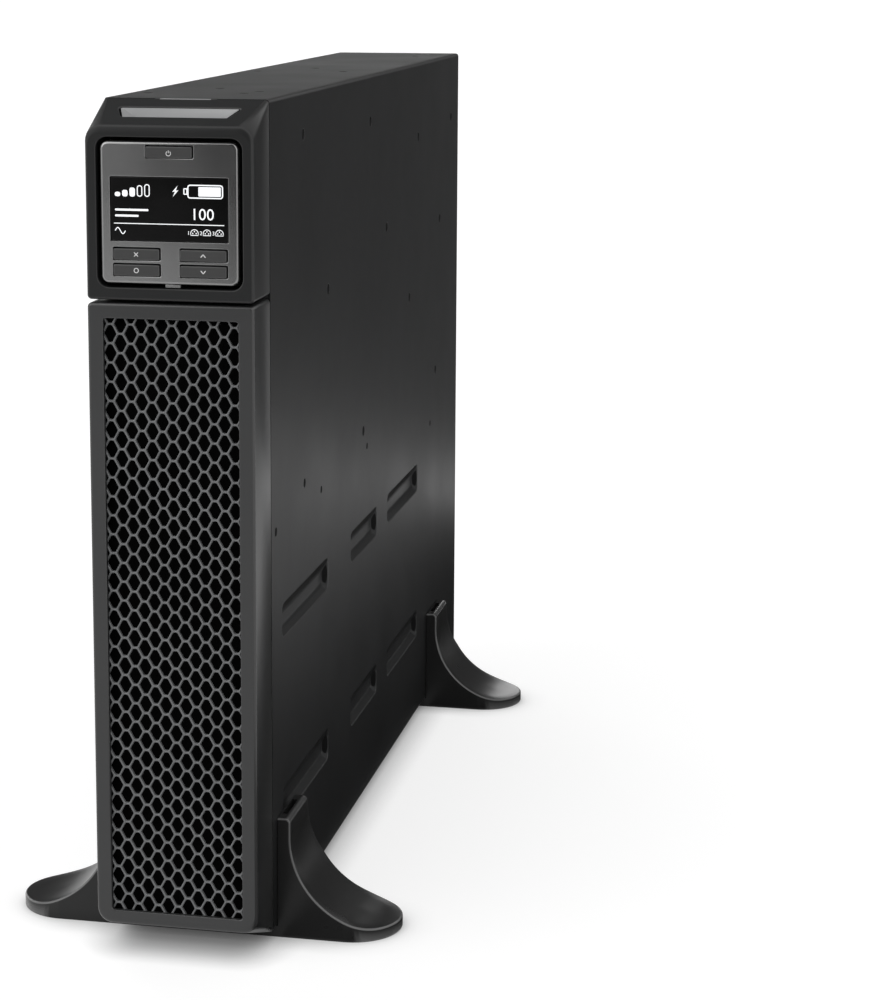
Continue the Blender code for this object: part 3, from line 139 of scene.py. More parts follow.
def clipToBox(loop, low, high):
    # cuts a convex outline at the four sides of a box; nothing is given back where too little is left
    for axis in (0, 1):
        for limit, sign in ((low[axis], 1), (high[axis], -1)):
            after = np.roll(loop, -1, 0)
            here, there = (loop[:, axis] - limit) * sign, (after[:, axis] - limit) * sign
            crosses = (here > 0) != (there > 0)
            share = np.where(crosses, here / np.where(here == there, 1, here - there), 0)[:, None]
            both = np.stack([loop, loop + (after - loop) * share], 1).reshape(-1, 2)
            loop = both[np.stack([here > 0, crosses], 1).reshape(-1)]
            if len(loop) < 3:
                return None
    after = np.roll(loop, -1, 0)
    area = (loop[:, 0] * after[:, 1] - loop[:, 1] * after[:, 0]).sum() / 2
    return loop if abs(area) > leastHole else None


def inside(points, loop):
    # a point is inside when a ray to the right crosses the loop an odd number of times
    after = np.roll(loop, -1, 0)
    u, v = points[:, 0, None], points[:, 1, None]
    spans = (loop[:, 1] > v) != (after[:, 1] > v)
    rise = np.where(after[:, 1] == loop[:, 1], 1e-12, after[:, 1] - loop[:, 1])
    crossing = loop[:, 0] + (v - loop[:, 1]) / rise * (after[:, 0] - loop[:, 0])
    return (spans & (u < crossing)).sum(1) % 2 == 1


# Patches of surface, as (points, faces, whether they are flat). A piece is a list of patches that weld
# where they meet.

def joined(lists):
    return [patch for patches in lists for patch in patches]


def onPlane(facing, level):
    # lifts an outline's (u, v) to a plane at one level along y, x or z
    def lift(loop):
        u, v = loop[..., 0], loop[..., 1]
        at = np.broadcast_to(level, u.shape)
        return np.stack({"y": (u, at, v), "x": (at, u, v), "z": (u, v, at)}[facing], -1)
    return lift


def gridPatch(points, closed=False):
    # a net of quads over points[i, j], closed across j if asked
    rows, columns = points.shape[:2]
    i = np.arange(rows - 1)[:, None]
    j = np.arange(columns if closed else columns - 1)[None, :]
    k = (j + 1) % columns
    quads = np.stack([i * columns + j, i * columns + k, (i + 1) * columns + k, (i + 1) * columns + j], -1)
    return points.reshape(-1, 3), quads.reshape(-1, 4).tolist(), False


def capPatch(points):
    return points, [list(range(len(points)))], True


def sheetPatch(outlines, lift):
    # a flat sheet of triangles inside the first outline and outside all the others
    loops = [np.asarray(loop, float) for loop in outlines]
    sizes = [len(loop) for loop in loops]
    starts = np.cumsum([0] + sizes)
    edges = np.concatenate([s + np.stack([np.arange(n), (np.arange(n) + 1) % n], -1)
                            for s, n in zip(starts, sizes)])
    flat = [Vector(point) for point in np.concatenate(loops).tolist()]
    points, _, faces, origin, _, _ = delaunay_2d_cdt(flat, edges.tolist(), [], 1, 1e-6)
    points = np.array([tuple(point) for point in points])
    owner = np.repeat(np.arange(len(loops)), sizes)[[source[0] if source else 0 for source in origin]]
    faces = np.array(faces)
    owners = owner[faces]
    suspect = (owners == owners[:, :1]).all(1) & (owners[:, 0] > 0)
    middle = points[faces].mean(1)
    drop = np.zeros(len(faces), bool)
    for hole in np.unique(owners[suspect, 0]):
        mine = suspect & (owners[:, 0] == hole)
        drop[mine] = inside(middle[mine], loops[hole])
    return lift(points), faces[~drop].tolist(), True


def quarterRound(radius, steps=3):
    # (inset, depth) pairs of a rounded edge, from the face to the wall
    angles = np.linspace(0, math.pi / 2, steps + 1)
    return np.stack([radius * (1 - np.sin(angles)), radius * (1 - np.cos(angles))], -1)


def wallPatch(loop, facing, levels, insets):
    # one outline carried through several levels, drawn in by an inset at each of them
    rings = [onPlane(facing, level)(offsetLoop(loop, -inset)) for level, inset in zip(levels, insets)]
    return gridPatch(np.stack(rings), True)


def solidPatches(outline, face, back, holes=(), pockets=(), edge=0.3, holeEdge=0.2, facing="y", steps=3):
    # A block between two levels with its edges rounded at the face. Holes go through; a pocket is
    # (outline, depth) with a flat floor. Holes and pockets have rounded rims too.
    out = 1 if face > back else -1
    outer, rim = quarterRound(edge, steps), quarterRound(holeEdge, 2)
    pits = [(hole, None) for hole in holes] + list(pockets)
    mouths = [offsetLoop(pit, holeEdge) for pit, _ in pits]
    patches = [
        sheetPatch([offsetLoop(outline, -edge)] + mouths, onPlane(facing, face)),
        wallPatch(outline, facing, [*(face - out * outer[:, 1]), back], [*outer[:, 0], 0]),
        sheetPatch([outline, *holes], onPlane(facing, back)),
    ]
    for pit, depth in pits:
        floor = back if depth is None else face - out * depth
        patches.append(wallPatch(pit, facing, [*(face - out * rim[:, 1]), floor], [*-rim[:, 0], 0]))
        if depth is not None:
            patches.append(sheetPatch([pit], onPlane(facing, floor)))
    return patches


def rodPatches(centre, radius, face, back, facing="y", edge=0.3, count=32):
    return solidPatches(circle(centre, radius, count), face, back, edge=edge, facing=facing)


def strokePatches(path, width, face, back, closed=False):
    # a line of constant width: the path's two parallels, one above the back level
    path = np.asarray(path, float)
    along = unit(np.roll(path, -1, 0) - np.roll(path, 1, 0) if closed else np.gradient(path, axis=0))
    side = along[:, ::-1] * (-1, 1) * width / 2
    top, low = onPlane("y", face), onPlane("y", back)
    ring = np.stack([low(path + side), top(path + side), top(path - side), low(path - side)])
    if closed:
        ring = np.concatenate([ring, ring[:, :1]], 1)
    points, quads, _ = gridPatch(np.concatenate([ring, ring[:1]]))
    caps = [] if closed else [capPatch(ring[:, 0]), capPatch(ring[:, -1])]
    return [(points, quads, True), *caps]


def readAll(items, field, width=1, kind=np.float64):
    values = np.empty(len(items) * width, kind)
    items.foreach_get(field, values)
    return values.reshape(-1, width) if width > 1 else values


def digitPatches(text, height, centre, level, thickness, mirrored=False):
    # plain numerals as a thin relief; mirrored ones are read from behind
    curve = bpy.data.curves.new("numerals", "FONT")
    curve.body, curve.size = text, height / 0.7
    curve.align_x, curve.align_y = "CENTER", "CENTER"
    curve.extrude, curve.resolution_u = thickness / 2, 3
    holder = bpy.data.objects.new("numerals", curve)
    bpy.context.scene.collection.objects.link(holder)
    bpy.context.view_layer.update()
    mesh = bpy.data.meshes.new_from_object(holder.evaluated_get(bpy.context.evaluated_depsgraph_get()))
    points = readAll(mesh.vertices, "co", 3)
    faces = [list(polygon.vertices) for polygon in mesh.polygons]
    bpy.data.objects.remove(holder)
    bpy.data.curves.remove(curve)
    bpy.data.meshes.remove(mesh)
    out = 1 if mirrored else -1
    place = [centre[0] - out * points[:, 0], level + out * points[:, 2], centre[1] + points[:, 1]]
    return [(np.stack(place, -1), faces, True)]


def edgeHighlightShare(mesh, curved):
    # the share of painted highlight: 1 on the corners of small rounded edges, where two faces turn outwards
    # far enough; 0 on flat sheets
    edgeOf = readAll(mesh.loops, "edge_index", kind=np.int32)
    faceOf = np.repeat(np.arange(len(curved)), readAll(mesh.polygons, "loop_total", kind=np.int32))
    normal, middle = (readAll(mesh.polygons, field, 3) for field in ("normal", "center"))
    order = np.argsort(edgeOf, kind="stable")
    sortedEdge, sortedFace = edgeOf[order], faceOf[order]
    pair = np.flatnonzero(sortedEdge[1:] == sortedEdge[:-1])
    one, two = sortedFace[pair], sortedFace[pair + 1]
    angle = np.degrees(np.arccos(np.clip((normal[one] * normal[two]).sum(1), -1, 1)))
    convex = ((middle[two] - middle[one]) * normal[one]).sum(1) < 0
    value = np.where(convex, np.clip((angle - highlightStart) / (highlightFull - highlightStart), 0, 1), 0)
    share = np.zeros(len(mesh.vertices))
    for end in readAll(mesh.edges, "vertices", 2, np.int32)[sortedEdge[pair]].T:
        np.maximum.at(share, end, value)
    share[readAll(mesh.loops, "vertex_index", kind=np.int32)[~curved[faceOf]]] = 0
    return share


def makePiece(name, finish, patches, stands=None, body="unit", crease=32):
    # joins the patches, welds them, turns the faces outwards and puts the piece on its body
    offsets = np.cumsum([0] + [len(patch[0]) for patch in patches])
    points = np.concatenate([patch[0] for patch in patches]) * millimetre
    faces = [[index + offset for index in face]
             for patch, offset in zip(patches, offsets) for face in patch[1]]
    curved = np.concatenate([np.full(len(patch[1]), not patch[2]) for patch in patches])
    mesh = bpy.data.meshes.new(name)
    mesh.from_pydata(points.tolist(), [], faces)
    mesh.polygons.foreach_set("use_smooth", curved)
    shape = bmesh.new()
    shape.from_mesh(mesh)
    bmesh.ops.remove_doubles(shape, verts=shape.verts, dist=2e-6)
    bmesh.ops.dissolve_degenerate(shape, edges=shape.edges, dist=1e-7)
    bmesh.ops.recalc_face_normals(shape, faces=shape.faces)
    shape.to_mesh(mesh)
    shape.free()
    curved = readAll(mesh.polygons, "use_smooth", kind=bool)
    mesh.set_sharp_from_angle(angle=math.radians(crease))
    mesh.polygons.foreach_set("use_smooth", curved)  # flat sheets stay flat beside rounded edges
    # the edge attribute is the mask of a painted highlight along rounded edges
    mesh.attributes.new("edge", "FLOAT", "POINT").data.foreach_set("value", edgeHighlightShare(mesh, curved))
    mesh.materials.append(finishes[finish])
    piece = bpy.data.objects.new(name, mesh)
    bpy.context.scene.collection.objects.link(piece)
    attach(piece, body)
    if stands:
        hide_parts(stands)


# Finishes. The pieces take them by name.

finishes = {}


def fill(tree, node, inputs):
    # an input takes a value, or a link where it is given another node's output
    for socket, value in inputs.items():
        if isinstance(value, bpy.types.NodeSocket):
            tree.links.new(value, node.inputs[socket])
        else:
            node.inputs[socket].default_value = value
    return node.outputs


def wire(tree, kind, inputs, **options):
    node = tree.nodes.new("ShaderNode" + kind)
    for option, value in options.items():
        setattr(node, option, value)
    return fill(tree, node, inputs)


def blend(tree, share, first, second):
    return wire(tree, "Mix", {"Factor": share, "A": first, "B": second}, data_type="RGBA")["Result"]


def between(tree, value, low, high):
    return wire(tree, "MapRange", {"Value": value, "To Min": low, "To Max": high})["Result"]


def reckon(tree, operation, *values):
    return wire(tree, "Math", dict(enumerate(values)), operation=operation)[0]


def newGroup(name, inputs):
    group = bpy.data.node_groups.new(name, "ShaderNodeTree")
    for socket, value in inputs.items():
        kind = "Float" if isinstance(value, float) else "Color" if len(value) == 4 else "Vector"
        made = group.interface.new_socket(socket, in_out="INPUT", socket_type="NodeSocket" + kind)
        made.default_value = value
    for socket, kind in (("Color", "Color"), ("Roughness", "Float"), ("Height", "Float")):
        group.interface.new_socket(socket, in_out="OUTPUT", socket_type="NodeSocket" + kind)
    return group, group.nodes.new("NodeGroupInput").outputs, group.nodes.new("NodeGroupOutput")


def buildGrainGroup():
    # Moulded or powder-coated skin: fine pebbles for the bump, broad clouds for colour and gloss, and a
    # painted highlight that makes rounded edges lighter, and smoother too
    group, given, result = newGroup("pebbleGrain", {
        "Dark": (0.02, 0.02, 0.02, 1), "Light": (0.03, 0.03, 0.03, 1), "Grain": 2200.0, "Cloud": 14.0,
        "Gloss": 0.4, "Matt": 0.5, "Edge": (0.05, 0.05, 0.05, 1)})
    place = wire(group, "TexCoord", {})["Object"]
    pebbles, clouds = (
        wire(group, "TexNoise", {"Vector": place, "Scale": given[scale], "Detail": detail})["Fac"]
        for scale, detail in (("Grain", 2.0), ("Cloud", 4.0)))
    share = wire(group, "MapRange", {"Value": clouds, "From Min": 0.3, "From Max": 0.7})["Result"]
    half = reckon(group, "MULTIPLY", share, 0.5)
    speckle = reckon(group, "MULTIPLY_ADD", pebbles, 0.5, half)
    skin = blend(group, speckle, given["Dark"], given["Light"])
    rough = between(group, share, given["Gloss"], given["Matt"])
    highlightMask = wire(group, "Attribute", {}, attribute_name="edge")["Fac"]
    highlightedSkin = blend(group, highlightMask, skin, given["Edge"])
    smootherEdges = reckon(group, "MULTIPLY_ADD", highlightMask, -0.08, rough)
    fill(group, result, {"Color": highlightedSkin, "Roughness": smootherEdges, "Height": pebbles})
    return group


def buildBrushGroup():
    # Rolled or plated metal: noise drawn out along one axis, with duller spots
    group, given, result = newGroup("drawnMetal", {
        "Dark": (0.5, 0.5, 0.5, 1), "Light": (0.7, 0.7, 0.7, 1), "Stretch": (300.0, 300.0, 3000.0),
        "Gloss": 0.25, "Matt": 0.4})
    place = wire(group, "TexCoord", {})["Object"]
    scaled = wire(group, "VectorMath", {0: place, 1: given["Stretch"]}, operation="MULTIPLY")["Vector"]
    lines = wire(group, "TexNoise", {"Vector": scaled, "Scale": 1.0, "Detail": 3.0})["Fac"]
    skin = blend(group, lines, given["Dark"], given["Light"])
    rough = between(group, lines, given["Gloss"], given["Matt"])
    fill(group, result, {"Color": skin, "Roughness": rough, "Height": lines})
    return group


grainGroup = buildGrainGroup()
brushGroup = buildBrushGroup()


def shade(level, tint=0.0):
    # a grey, with more blue than red by the tint, or a colour as it is given
    return (*level, 1) if isinstance(level, tuple) else (level * (1 - tint), level, level * (1 + tint), 1)


def newMaterial(name):
    material = bpy.data.materials.new(name)
    material.use_nodes = True
    return material, material.node_tree, material.node_tree.nodes["Principled BSDF"]


def finishMaterial(name, group, settings, bump, distance, shine):
    # a Principled surface whose colour, gloss and bump come from one of the groups
    material, tree, shader = newMaterial(name)
    skin = wire(tree, "Group", settings, node_tree=group)
    relief = {"Height": skin["Height"], "Strength": bump, "Distance": distance * millimetre}
    fill(tree, shader, {"Base Color": skin["Color"], "Roughness": skin["Roughness"],
                        "Normal": wire(tree, "Bump", relief)["Normal"], **shine})
    finishes[name] = material


def grained(name, dark, light, gloss, matt, tint=0.0, edge=None, grain=2200.0, cloud=14.0, bump=0.25,
            specular=0.5, metallic=0.0, glow=0.0):
    settings = {"Dark": shade(dark, tint), "Light": shade(light, tint), "Gloss": gloss, "Matt": matt,
                "Grain": grain, "Cloud": cloud, "Edge": shade(light, tint) if edge is None else shade(edge)}
    shine = {"Specular IOR Level": specular, "Metallic": metallic}
    if glow:
        shine.update({"Emission Color": (0.92, 0.96, 1.0, 1), "Emission Strength": glow})
    finishMaterial(name, grainGroup, settings, bump, 0.05, shine)


def brushed(name, dark, light, gloss, matt, stretch, tint=0.0):
    settings = {"Dark": shade(dark, tint), "Light": shade(light, tint), "Gloss": gloss, "Matt": matt,
                "Stretch": stretch}
    finishMaterial(name, brushGroup, settings, 0.15, 0.02, {"Specular IOR Level": 0.5, "Metallic": 1.0})


grainLook = {  # dark, light, gloss, matt, and what differs from a plain skin; edge is the painted highlight's colour on rounded edges
    "case_paint": (0.013, 0.019, 0.36, 0.42,
                   dict(tint=0.02, grain=2600, bump=0.16, specular=0.22, edge=0.045)),
    "rear_panel_paint": (0.023, 0.029, 0.42, 0.52, dict(tint=0.03, grain=2600, specular=0.35, edge=0.07)),
    # a lighter copy of the case paint: painted highlight on the side cover's rear flange
    "flange_highlight_paint": (0.050, 0.062, 0.40, 0.50, dict(tint=0.03, grain=2600, specular=0.35, edge=0.12)),
    "bezel_plastic": (0.013, 0.018, 0.36, 0.44,
                      dict(tint=0.02, grain=3400, bump=0.15, specular=0.22, edge=0.040)),
    # a lighter, glossier copy of the bezel plastic: painted light on the lower bezel
    "lit_bezel_plastic": (0.019, 0.026, 0.28, 0.34,
                       dict(tint=0.02, grain=3400, bump=0.13, specular=0.52, edge=0.044)),
    "net_plastic": (0.125, 0.165, 0.30, 0.40, dict(tint=0.02, grain=3400, bump=0.1)),
    # near black: painted shade behind the net
    "backing_shade_foam": (0.0015, 0.003, 0.9, 1.0, dict(grain=900, bump=0.6, specular=0.05)),
    "display_plastic": (0.20, 0.25, 0.18, 0.23,
                        dict(grain=4200, cloud=22, bump=0.05, specular=0.4, metallic=0.9)),
    "key_plastic": (0.030, 0.038, 0.36, 0.44, dict(grain=4200, bump=0.12, edge=0.075)),
    "shadow_gap": (0.003, 0.005, 0.6, 0.7, dict(specular=0.1)),
    "foot_plastic": (0.018, 0.025, 0.26, 0.33, dict(grain=3000, bump=0.10, specular=0.24, edge=0.17)),
    "outlet_plastic": (0.030, 0.038, 0.42, 0.52, dict(grain=3200, bump=0.15, specular=0.4, edge=0.06)),
    "socket_plastic": (0.034, 0.042, 0.40, 0.50, dict(grain=3200, bump=0.15, specular=0.4, edge=0.07)),
    # near black: painted shade deep in socket slots, connector wells and port mouths
    "cavity_shade": (0.002, 0.004, 0.7, 0.8, dict(specular=0.1)),
    "label_film": (0.026, 0.032, 0.45, 0.55, dict(grain=1500, bump=0.05, specular=0.35)),
    "print_ink": (0.72, 0.80, 0.5, 0.6, dict(bump=0.03)),
    "plate_paint": (0.76, 0.82, 0.36, 0.46, dict(grain=2600, bump=0.12)),
    "connector_green": ((0.007, 0.042, 0.009), (0.010, 0.060, 0.013), 0.40, 0.5, dict(bump=0.1)),
    "connector_bright": ((0.028, 0.150, 0.020), (0.036, 0.185, 0.026), 0.38, 0.48, dict(bump=0.1)),
    "terminal_blue": ((0.055, 0.150, 0.50), (0.075, 0.190, 0.58), 0.36, 0.45, dict(bump=0.1)),
    # a darker copy of the terminal blue: painted shade in the cells
    "terminal_blue_shade": ((0.006, 0.018, 0.14), (0.009, 0.026, 0.19), 0.4, 0.5, dict(bump=0.1)),
    "fan_plastic": (0.0025, 0.004, 0.45, 0.55, dict(specular=0.03)),
    "battery_case": ((0.10, 0.11, 0.13), (0.13, 0.14, 0.16), 0.45, 0.55, {}),
    "circuit_board": ((0.012, 0.09, 0.035), (0.02, 0.13, 0.05), 0.35, 0.5, dict(cloud=220)),
    "capacitor_sleeve": ((0.003, 0.004, 0.009), (0.005, 0.007, 0.014), 0.3, 0.4, dict(specular=0.06)),
    "slot_steel": (0.30, 0.36, 0.35, 0.45, dict(tint=0.01, grain=1800, bump=0.08)),
    # darker steel: painted shade on the screw recesses' floors and on the front frame inside the case
    "recess_shade_steel": (0.17, 0.23, 0.4, 0.5, dict(tint=0.02, grain=1800, bump=0.08, specular=0.3)),
    "jack_insert": (0.55, 0.62, 0.4, 0.5, dict(bump=0.08)),
    "sink_alloy": (0.004, 0.007, 0.4, 0.5, dict(grain=1200, specular=0.05)),
    # black window with an even, slightly frosted front, and its lit marks, a little uneven
    "screen_glass": (0.0010, 0.0016, 0.17, 0.23, dict(grain=60, cloud=30, bump=0.0, specular=0.2)),
    "screen_marks": (0.75, 0.85, 0.4, 0.5, dict(cloud=120, bump=0.0, glow=0.55)),
}
brushLook = {  # dark, light, gloss, matt, noise scale along each axis, tint
    "bare_steel": (0.46, 0.60, 0.30, 0.42, (40.0, 900.0, 900.0), 0.01),
    "zinc_plate": (0.72, 0.84, 0.30, 0.40, (900.0, 900.0, 900.0), 0.015),
    "jack_steel": (0.66, 0.78, 0.26, 0.38, (200.0, 2000.0, 2000.0), 0.0),
    "contact_gold": ((0.60, 0.42, 0.12), (0.78, 0.56, 0.20), 0.2, 0.3, (900.0, 900.0, 900.0), 0.0),
    "copper_wire": ((0.35, 0.14, 0.05), (0.55, 0.24, 0.09), 0.25, 0.4, (700.0, 700.0, 700.0), 0.0),
}
for name, (*levels, extra) in grainLook.items():
    grained(name, *levels, **extra)
for name, look in brushLook.items():
    brushed(name, *look)
print("finishes ready:", len(bpy.data.materials))


# Case: a folded tray with pressed recesses, a side cover and small round press marks

caseLook = {
    "sheet": 1.2, "bend": 2.0,
    "recessSpans": ((23, 131), (192, 267), (300, 400)),  # from the case's front edge
    "recessRows": (62, 161), "recessHeight": 17.5, "recessDepth": 3.5, "recessSlope": 3.0,
    "recessCorner": 4.0, "recessHang": 1.1,  # how much longer the upper slope is than the others
    "slitRise": -0.3, "slitHalf": 6.2, "slitEnds": (-0.3, 0.06),
    # press marks of the base wall (depth from the bezel's front, height, radius) and of the top (x, depth)
    "sideMarks": ((106.5, 409.6, 3.0), (279.6, 404.8, 3.0), (431.5, 384.7, 3.0), (551.9, 390.0, 3.0),
                  (328.9, 337.6, 3.0), (510.8, 324.0, 3.0), (166.3, 320.5, 3.0), (403.5, 284.4, 3.0),
                  (260.2, 223.9, 3.0), (270.8, 212.9, 2.0), (497.4, 222.5, 3.0), (107.4, 223.9, 2.4),
                  (147.6, 212.0, 2.0), (43.0, 211.6, 2.4), (478.6, 188.9, 2.0)),
    "topMarks": ((-32.7, 78), (-6.3, 122), (17, 83.5), (21, 99),
                 (-33, 309), (-7, 351), (18.6, 313), (22, 529)),
    "topMarkRadius": 2.6, "markTaper": 0.1,
}
markLook = {  # for each wall: depth, points round, width and drop of the lip, gap round the dark floor of painted shade
    "x": (1.0, 20, 0.25, 0.12, 0.12),
    "z": (0.5, 16, 0.2, 0.1, 0.15),
}
markPlaces = {
    "x": [((frontY + y, floorToCase + z), radius) for y, z, radius in caseLook["sideMarks"]],
    "z": [((x, frontY + y), caseLook["topMarkRadius"]) for x, y in caseLook["topMarks"]],
}


def boxLoop(u0, u1, v0, v1):
    return np.array([(u0, v0), (u1, v0), (u1, v1), (u0, v1)])


def traySection(inset):
    # the folded sheet's section: lower free edge, lower bend, upper bend, upper free edge
    bend = caseLook["bend"]
    corner = direction(np.radians(np.linspace(-90, 0, 7))) * (bend - inset)
    lower = corner + (caseHalf - bend, floorToCase + bend)
    upper = corner[::-1] * (1, -1) + (caseHalf - bend, caseTop - bend)
    lowEdge, highEdge = np.array([[(caseLow[0], floorToCase + inset)], [(caseLow[0], caseTop - inset)]])
    return lowEdge, lower, upper, highEdge


def recessBoxes():
    half = np.array([0, caseLook["recessHeight"] / 2])
    for row in caseLook["recessRows"]:
        for first, last in caseLook["recessSpans"]:
            yield (np.array([bezelBack + first, floorToCase + row]) - half,
                   np.array([bezelBack + last, floorToCase + row]) + half)


def traySkin(inset):
    # the sheet's outer face, or its inner face one sheet further in
    lowEdge, lower, upper, _ = traySection(inset)
    ends, bendX = (caseLow[1], rearY), caseHalf - caseLook["bend"]
    runs = (np.concatenate([lowEdge, lower]), upper)
    patches = [gridPatch(np.stack([onPlane("y", y)(run) for y in ends], 1)) for run in runs]
    walls = {"x": caseHalf - inset, "z": caseTop - inset}
    sheets = {"x": [boxLoop(*ends, lower[-1, 1], upper[0, 1])], "z": [boxLoop(caseLow[0], bendX, *ends)]}
    slope, depth, corner, hang = (caseLook["recess" + part] for part in ("Slope", "Depth", "Corner", "Hang"))
    steps = ((-0.7, 0.0), (-0.2, 0.1), (0.25, 0.45), (slope * 0.5, depth * 0.55), (slope - 0.2, depth - 0.35),
             (slope + 0.3, depth - 0.08), (slope + 1.0, depth))  # (inset, drop) down a recess's slope
    for low, high in recessBoxes():
        loops = [roundRect(low + grow, high - grow - (0, max(grow, 0) * hang), corner - grow * 0.6)
                 for grow, _ in steps]
        rings = [onPlane("x", walls["x"] - drop)(loop) for loop, (_, drop) in zip(loops, steps)]
        patches.append(gridPatch(np.stack(rings), True))
        patches.append(sheetPatch(loops[-1:], onPlane("x", walls["x"] - depth)))
        sheets["x"].append(loops[0])
    taper = caseLook["markTaper"]
    for facing, wall in walls.items():
        depth, points, lip, drop, _ = markLook[facing]
        for centre, radius in markPlaces[facing]:
            mark = circle(centre, radius, points)
            patches.append(wallPatch(mark, facing, [wall, wall - drop, wall - depth], [-lip, 0.0, taper]))
            patches.append(sheetPatch([offsetLoop(mark, -taper)], onPlane(facing, wall - depth)))
            sheets[facing].append(offsetLoop(mark, lip))
        patches.append(sheetPatch(sheets[facing], onPlane(facing, wall)))
    return patches


def makeTray():
    sheet = caseLook["sheet"]
    sections = np.stack([np.concatenate(traySection(inset)) for inset in (0, sheet)])
    patches = traySkin(0) + traySkin(sheet)
    rims = np.stack([onPlane("y", y)(sections) for y in (caseLow[1], rearY)])
    patches += [gridPatch(rim) for rim in rims]
    patches += [gridPatch(rims[:, :, end]) for end in (0, -1)]  # the two free edges of the sheet
    makePiece("chassis_shell", "case_paint", patches, "chassis_tray", crease=40)


def makePressMarkShade():
    # painted shade: dark discs on the floors of the press marks
    floors = []
    for facing, wall in (("x", caseHalf), ("z", caseTop)):
        depth, points, _, _, gap = markLook[facing]
        for centre, radius in markPlaces[facing]:
            face, back = wall - depth * 0.6, wall - depth - 0.1
            floors += rodPatches(centre, radius - gap, face, back, facing, 0.05, points)
    # painted shade standing for slits in the recesses' rear ends: dark pointed ovals that follow the end's
    # slope
    turn = np.linspace(0, 2 * math.pi, 33)[:-1]
    share = 0.5 + 0.40 * np.sign(np.cos(turn)) * np.abs(np.cos(turn)) ** 1.25
    down, along = caseLook["recessDepth"] * share, caseLook["recessSlope"] * share
    for low, high in recessBoxes():
        height = (low[1] + high[1]) / 2 + caseLook["slitRise"] + caseLook["slitHalf"] * np.sin(turn)
        rings = [np.stack([caseHalf - down + lift, high[0] - along - lift, height], -1)
                 for lift in caseLook["slitEnds"]]
        floors += [gridPatch(np.stack(rings), True), capPatch(rings[1]), capPatch(rings[0])]
    makePiece("press_mark_shade", "shadow_gap", floors)


def makeCover():
    # a flat sheet with rounded edges, and its narrow flange at the rear
    low, high = nodeBox("side_cover")
    outline, inner = roundRect(low[1:], high[1:], 1.2), low[0] + caseLook["sheet"]
    cover = solidPatches(outline, low[0], inner, edge=1.0, facing="x", steps=4)
    makePiece("side_cover_shell", "case_paint", cover, "side_cover", crease=40)
    # the flange's lighter paint is a painted highlight
    lip = roundRect((low[0] + 0.2, low[2] + 2.5), (low[0] + 2.7, high[2] - 4.0), 0.4, 2)
    flange = solidPatches(lip, rearY + 0.9, rearY - 6, edge=0.35)
    makePiece("cover_flange", "flange_highlight_paint", flange)


makeTray()
makePressMarkShade()
makeCover()
print("case shell done")


# Bezels: hollow shells whose ends slant back to the case

bezelLook = {
    "slant": 11.6, "edge": 1.4, "edgeSteps": 4, "wall": 2.2,
    "frontCorner": 8.0, "backCorner": 2.0, "plainCorner": 2.2,
    "softEnd": 2.2,  # slanting ends are rounded this much further down the face
    "slotBack": (32.0, 22.5), "slotFront": (27.0, 11.0), "slotCorner": 1.8, "slotDepth": 5.4, "slotEdge": 0.7,
    "dishCorner": 0.8, "dishTop": 0.5, "dishFloor": 5.0, "dishSheet": 0.25,
    "mouthEdge": 0.6, "wellCorner": 5.8, "wellMargin": 2.0, "wellWall": 1.8, "wellDepth": 20.3, "bore": 20.6,
    "pegRadius": 2.5, "pegInset": 4.3, "pegEnds": (-20, 7.7),
    "lowerPegs": (30, 170, 310), "upperPegs": (408, 350),
    "stripHalf": 13, "stripEnds": 14.4, "catches": (395, 383, 375), "catchGap": 1.75,
}
roofQuad = 17  # the number of the roof's flat part round a bezel's ring
splitLow = nodeBox("front_bezel")[1][2]
splitHigh = nodeBox("display_bezel")[0][2]


def bezelRing(depth, inset, ends):
    # the outline at one depth behind the front: slanting ends move out to the case's ends at the back
    share = depth / bezelDepth
    lean = bezelLook["slant"] * (1 - share)
    corner = bezelLook["frontCorner"] + (bezelLook["backCorner"] - bezelLook["frontCorner"]) * share
    heights, radii = [], []
    for (height, slants), inward in zip(ends, (1, -1)):
        soft = bezelLook["softEnd"] if slants else 1
        heights.append(height + inward * lean * slants + inward * inset * soft)
        radii.append(max((corner if slants else bezelLook["plainCorner"]) - inset, 0.2))
    side, (low, high) = caseHalf - inset, radii
    return roundRect((-side, heights[0]), (side, heights[1]), (low, high, high, low), 8)


def roofPlane(drop):
    # lifts an outline to the upper bezel's slanted roof, or to a plane below it
    rise = bezelLook["slant"] / bezelDepth
    return lambda points: np.c_[points, caseTop - bezelLook["slant"] - drop + rise * (points[:, 1] - frontY)]


def roofRings(steps):
    # outlines on the roof, each with its drop, joined to one wall
    return gridPatch(np.stack([roofPlane(drop)(loop) for loop, drop in steps]), True)


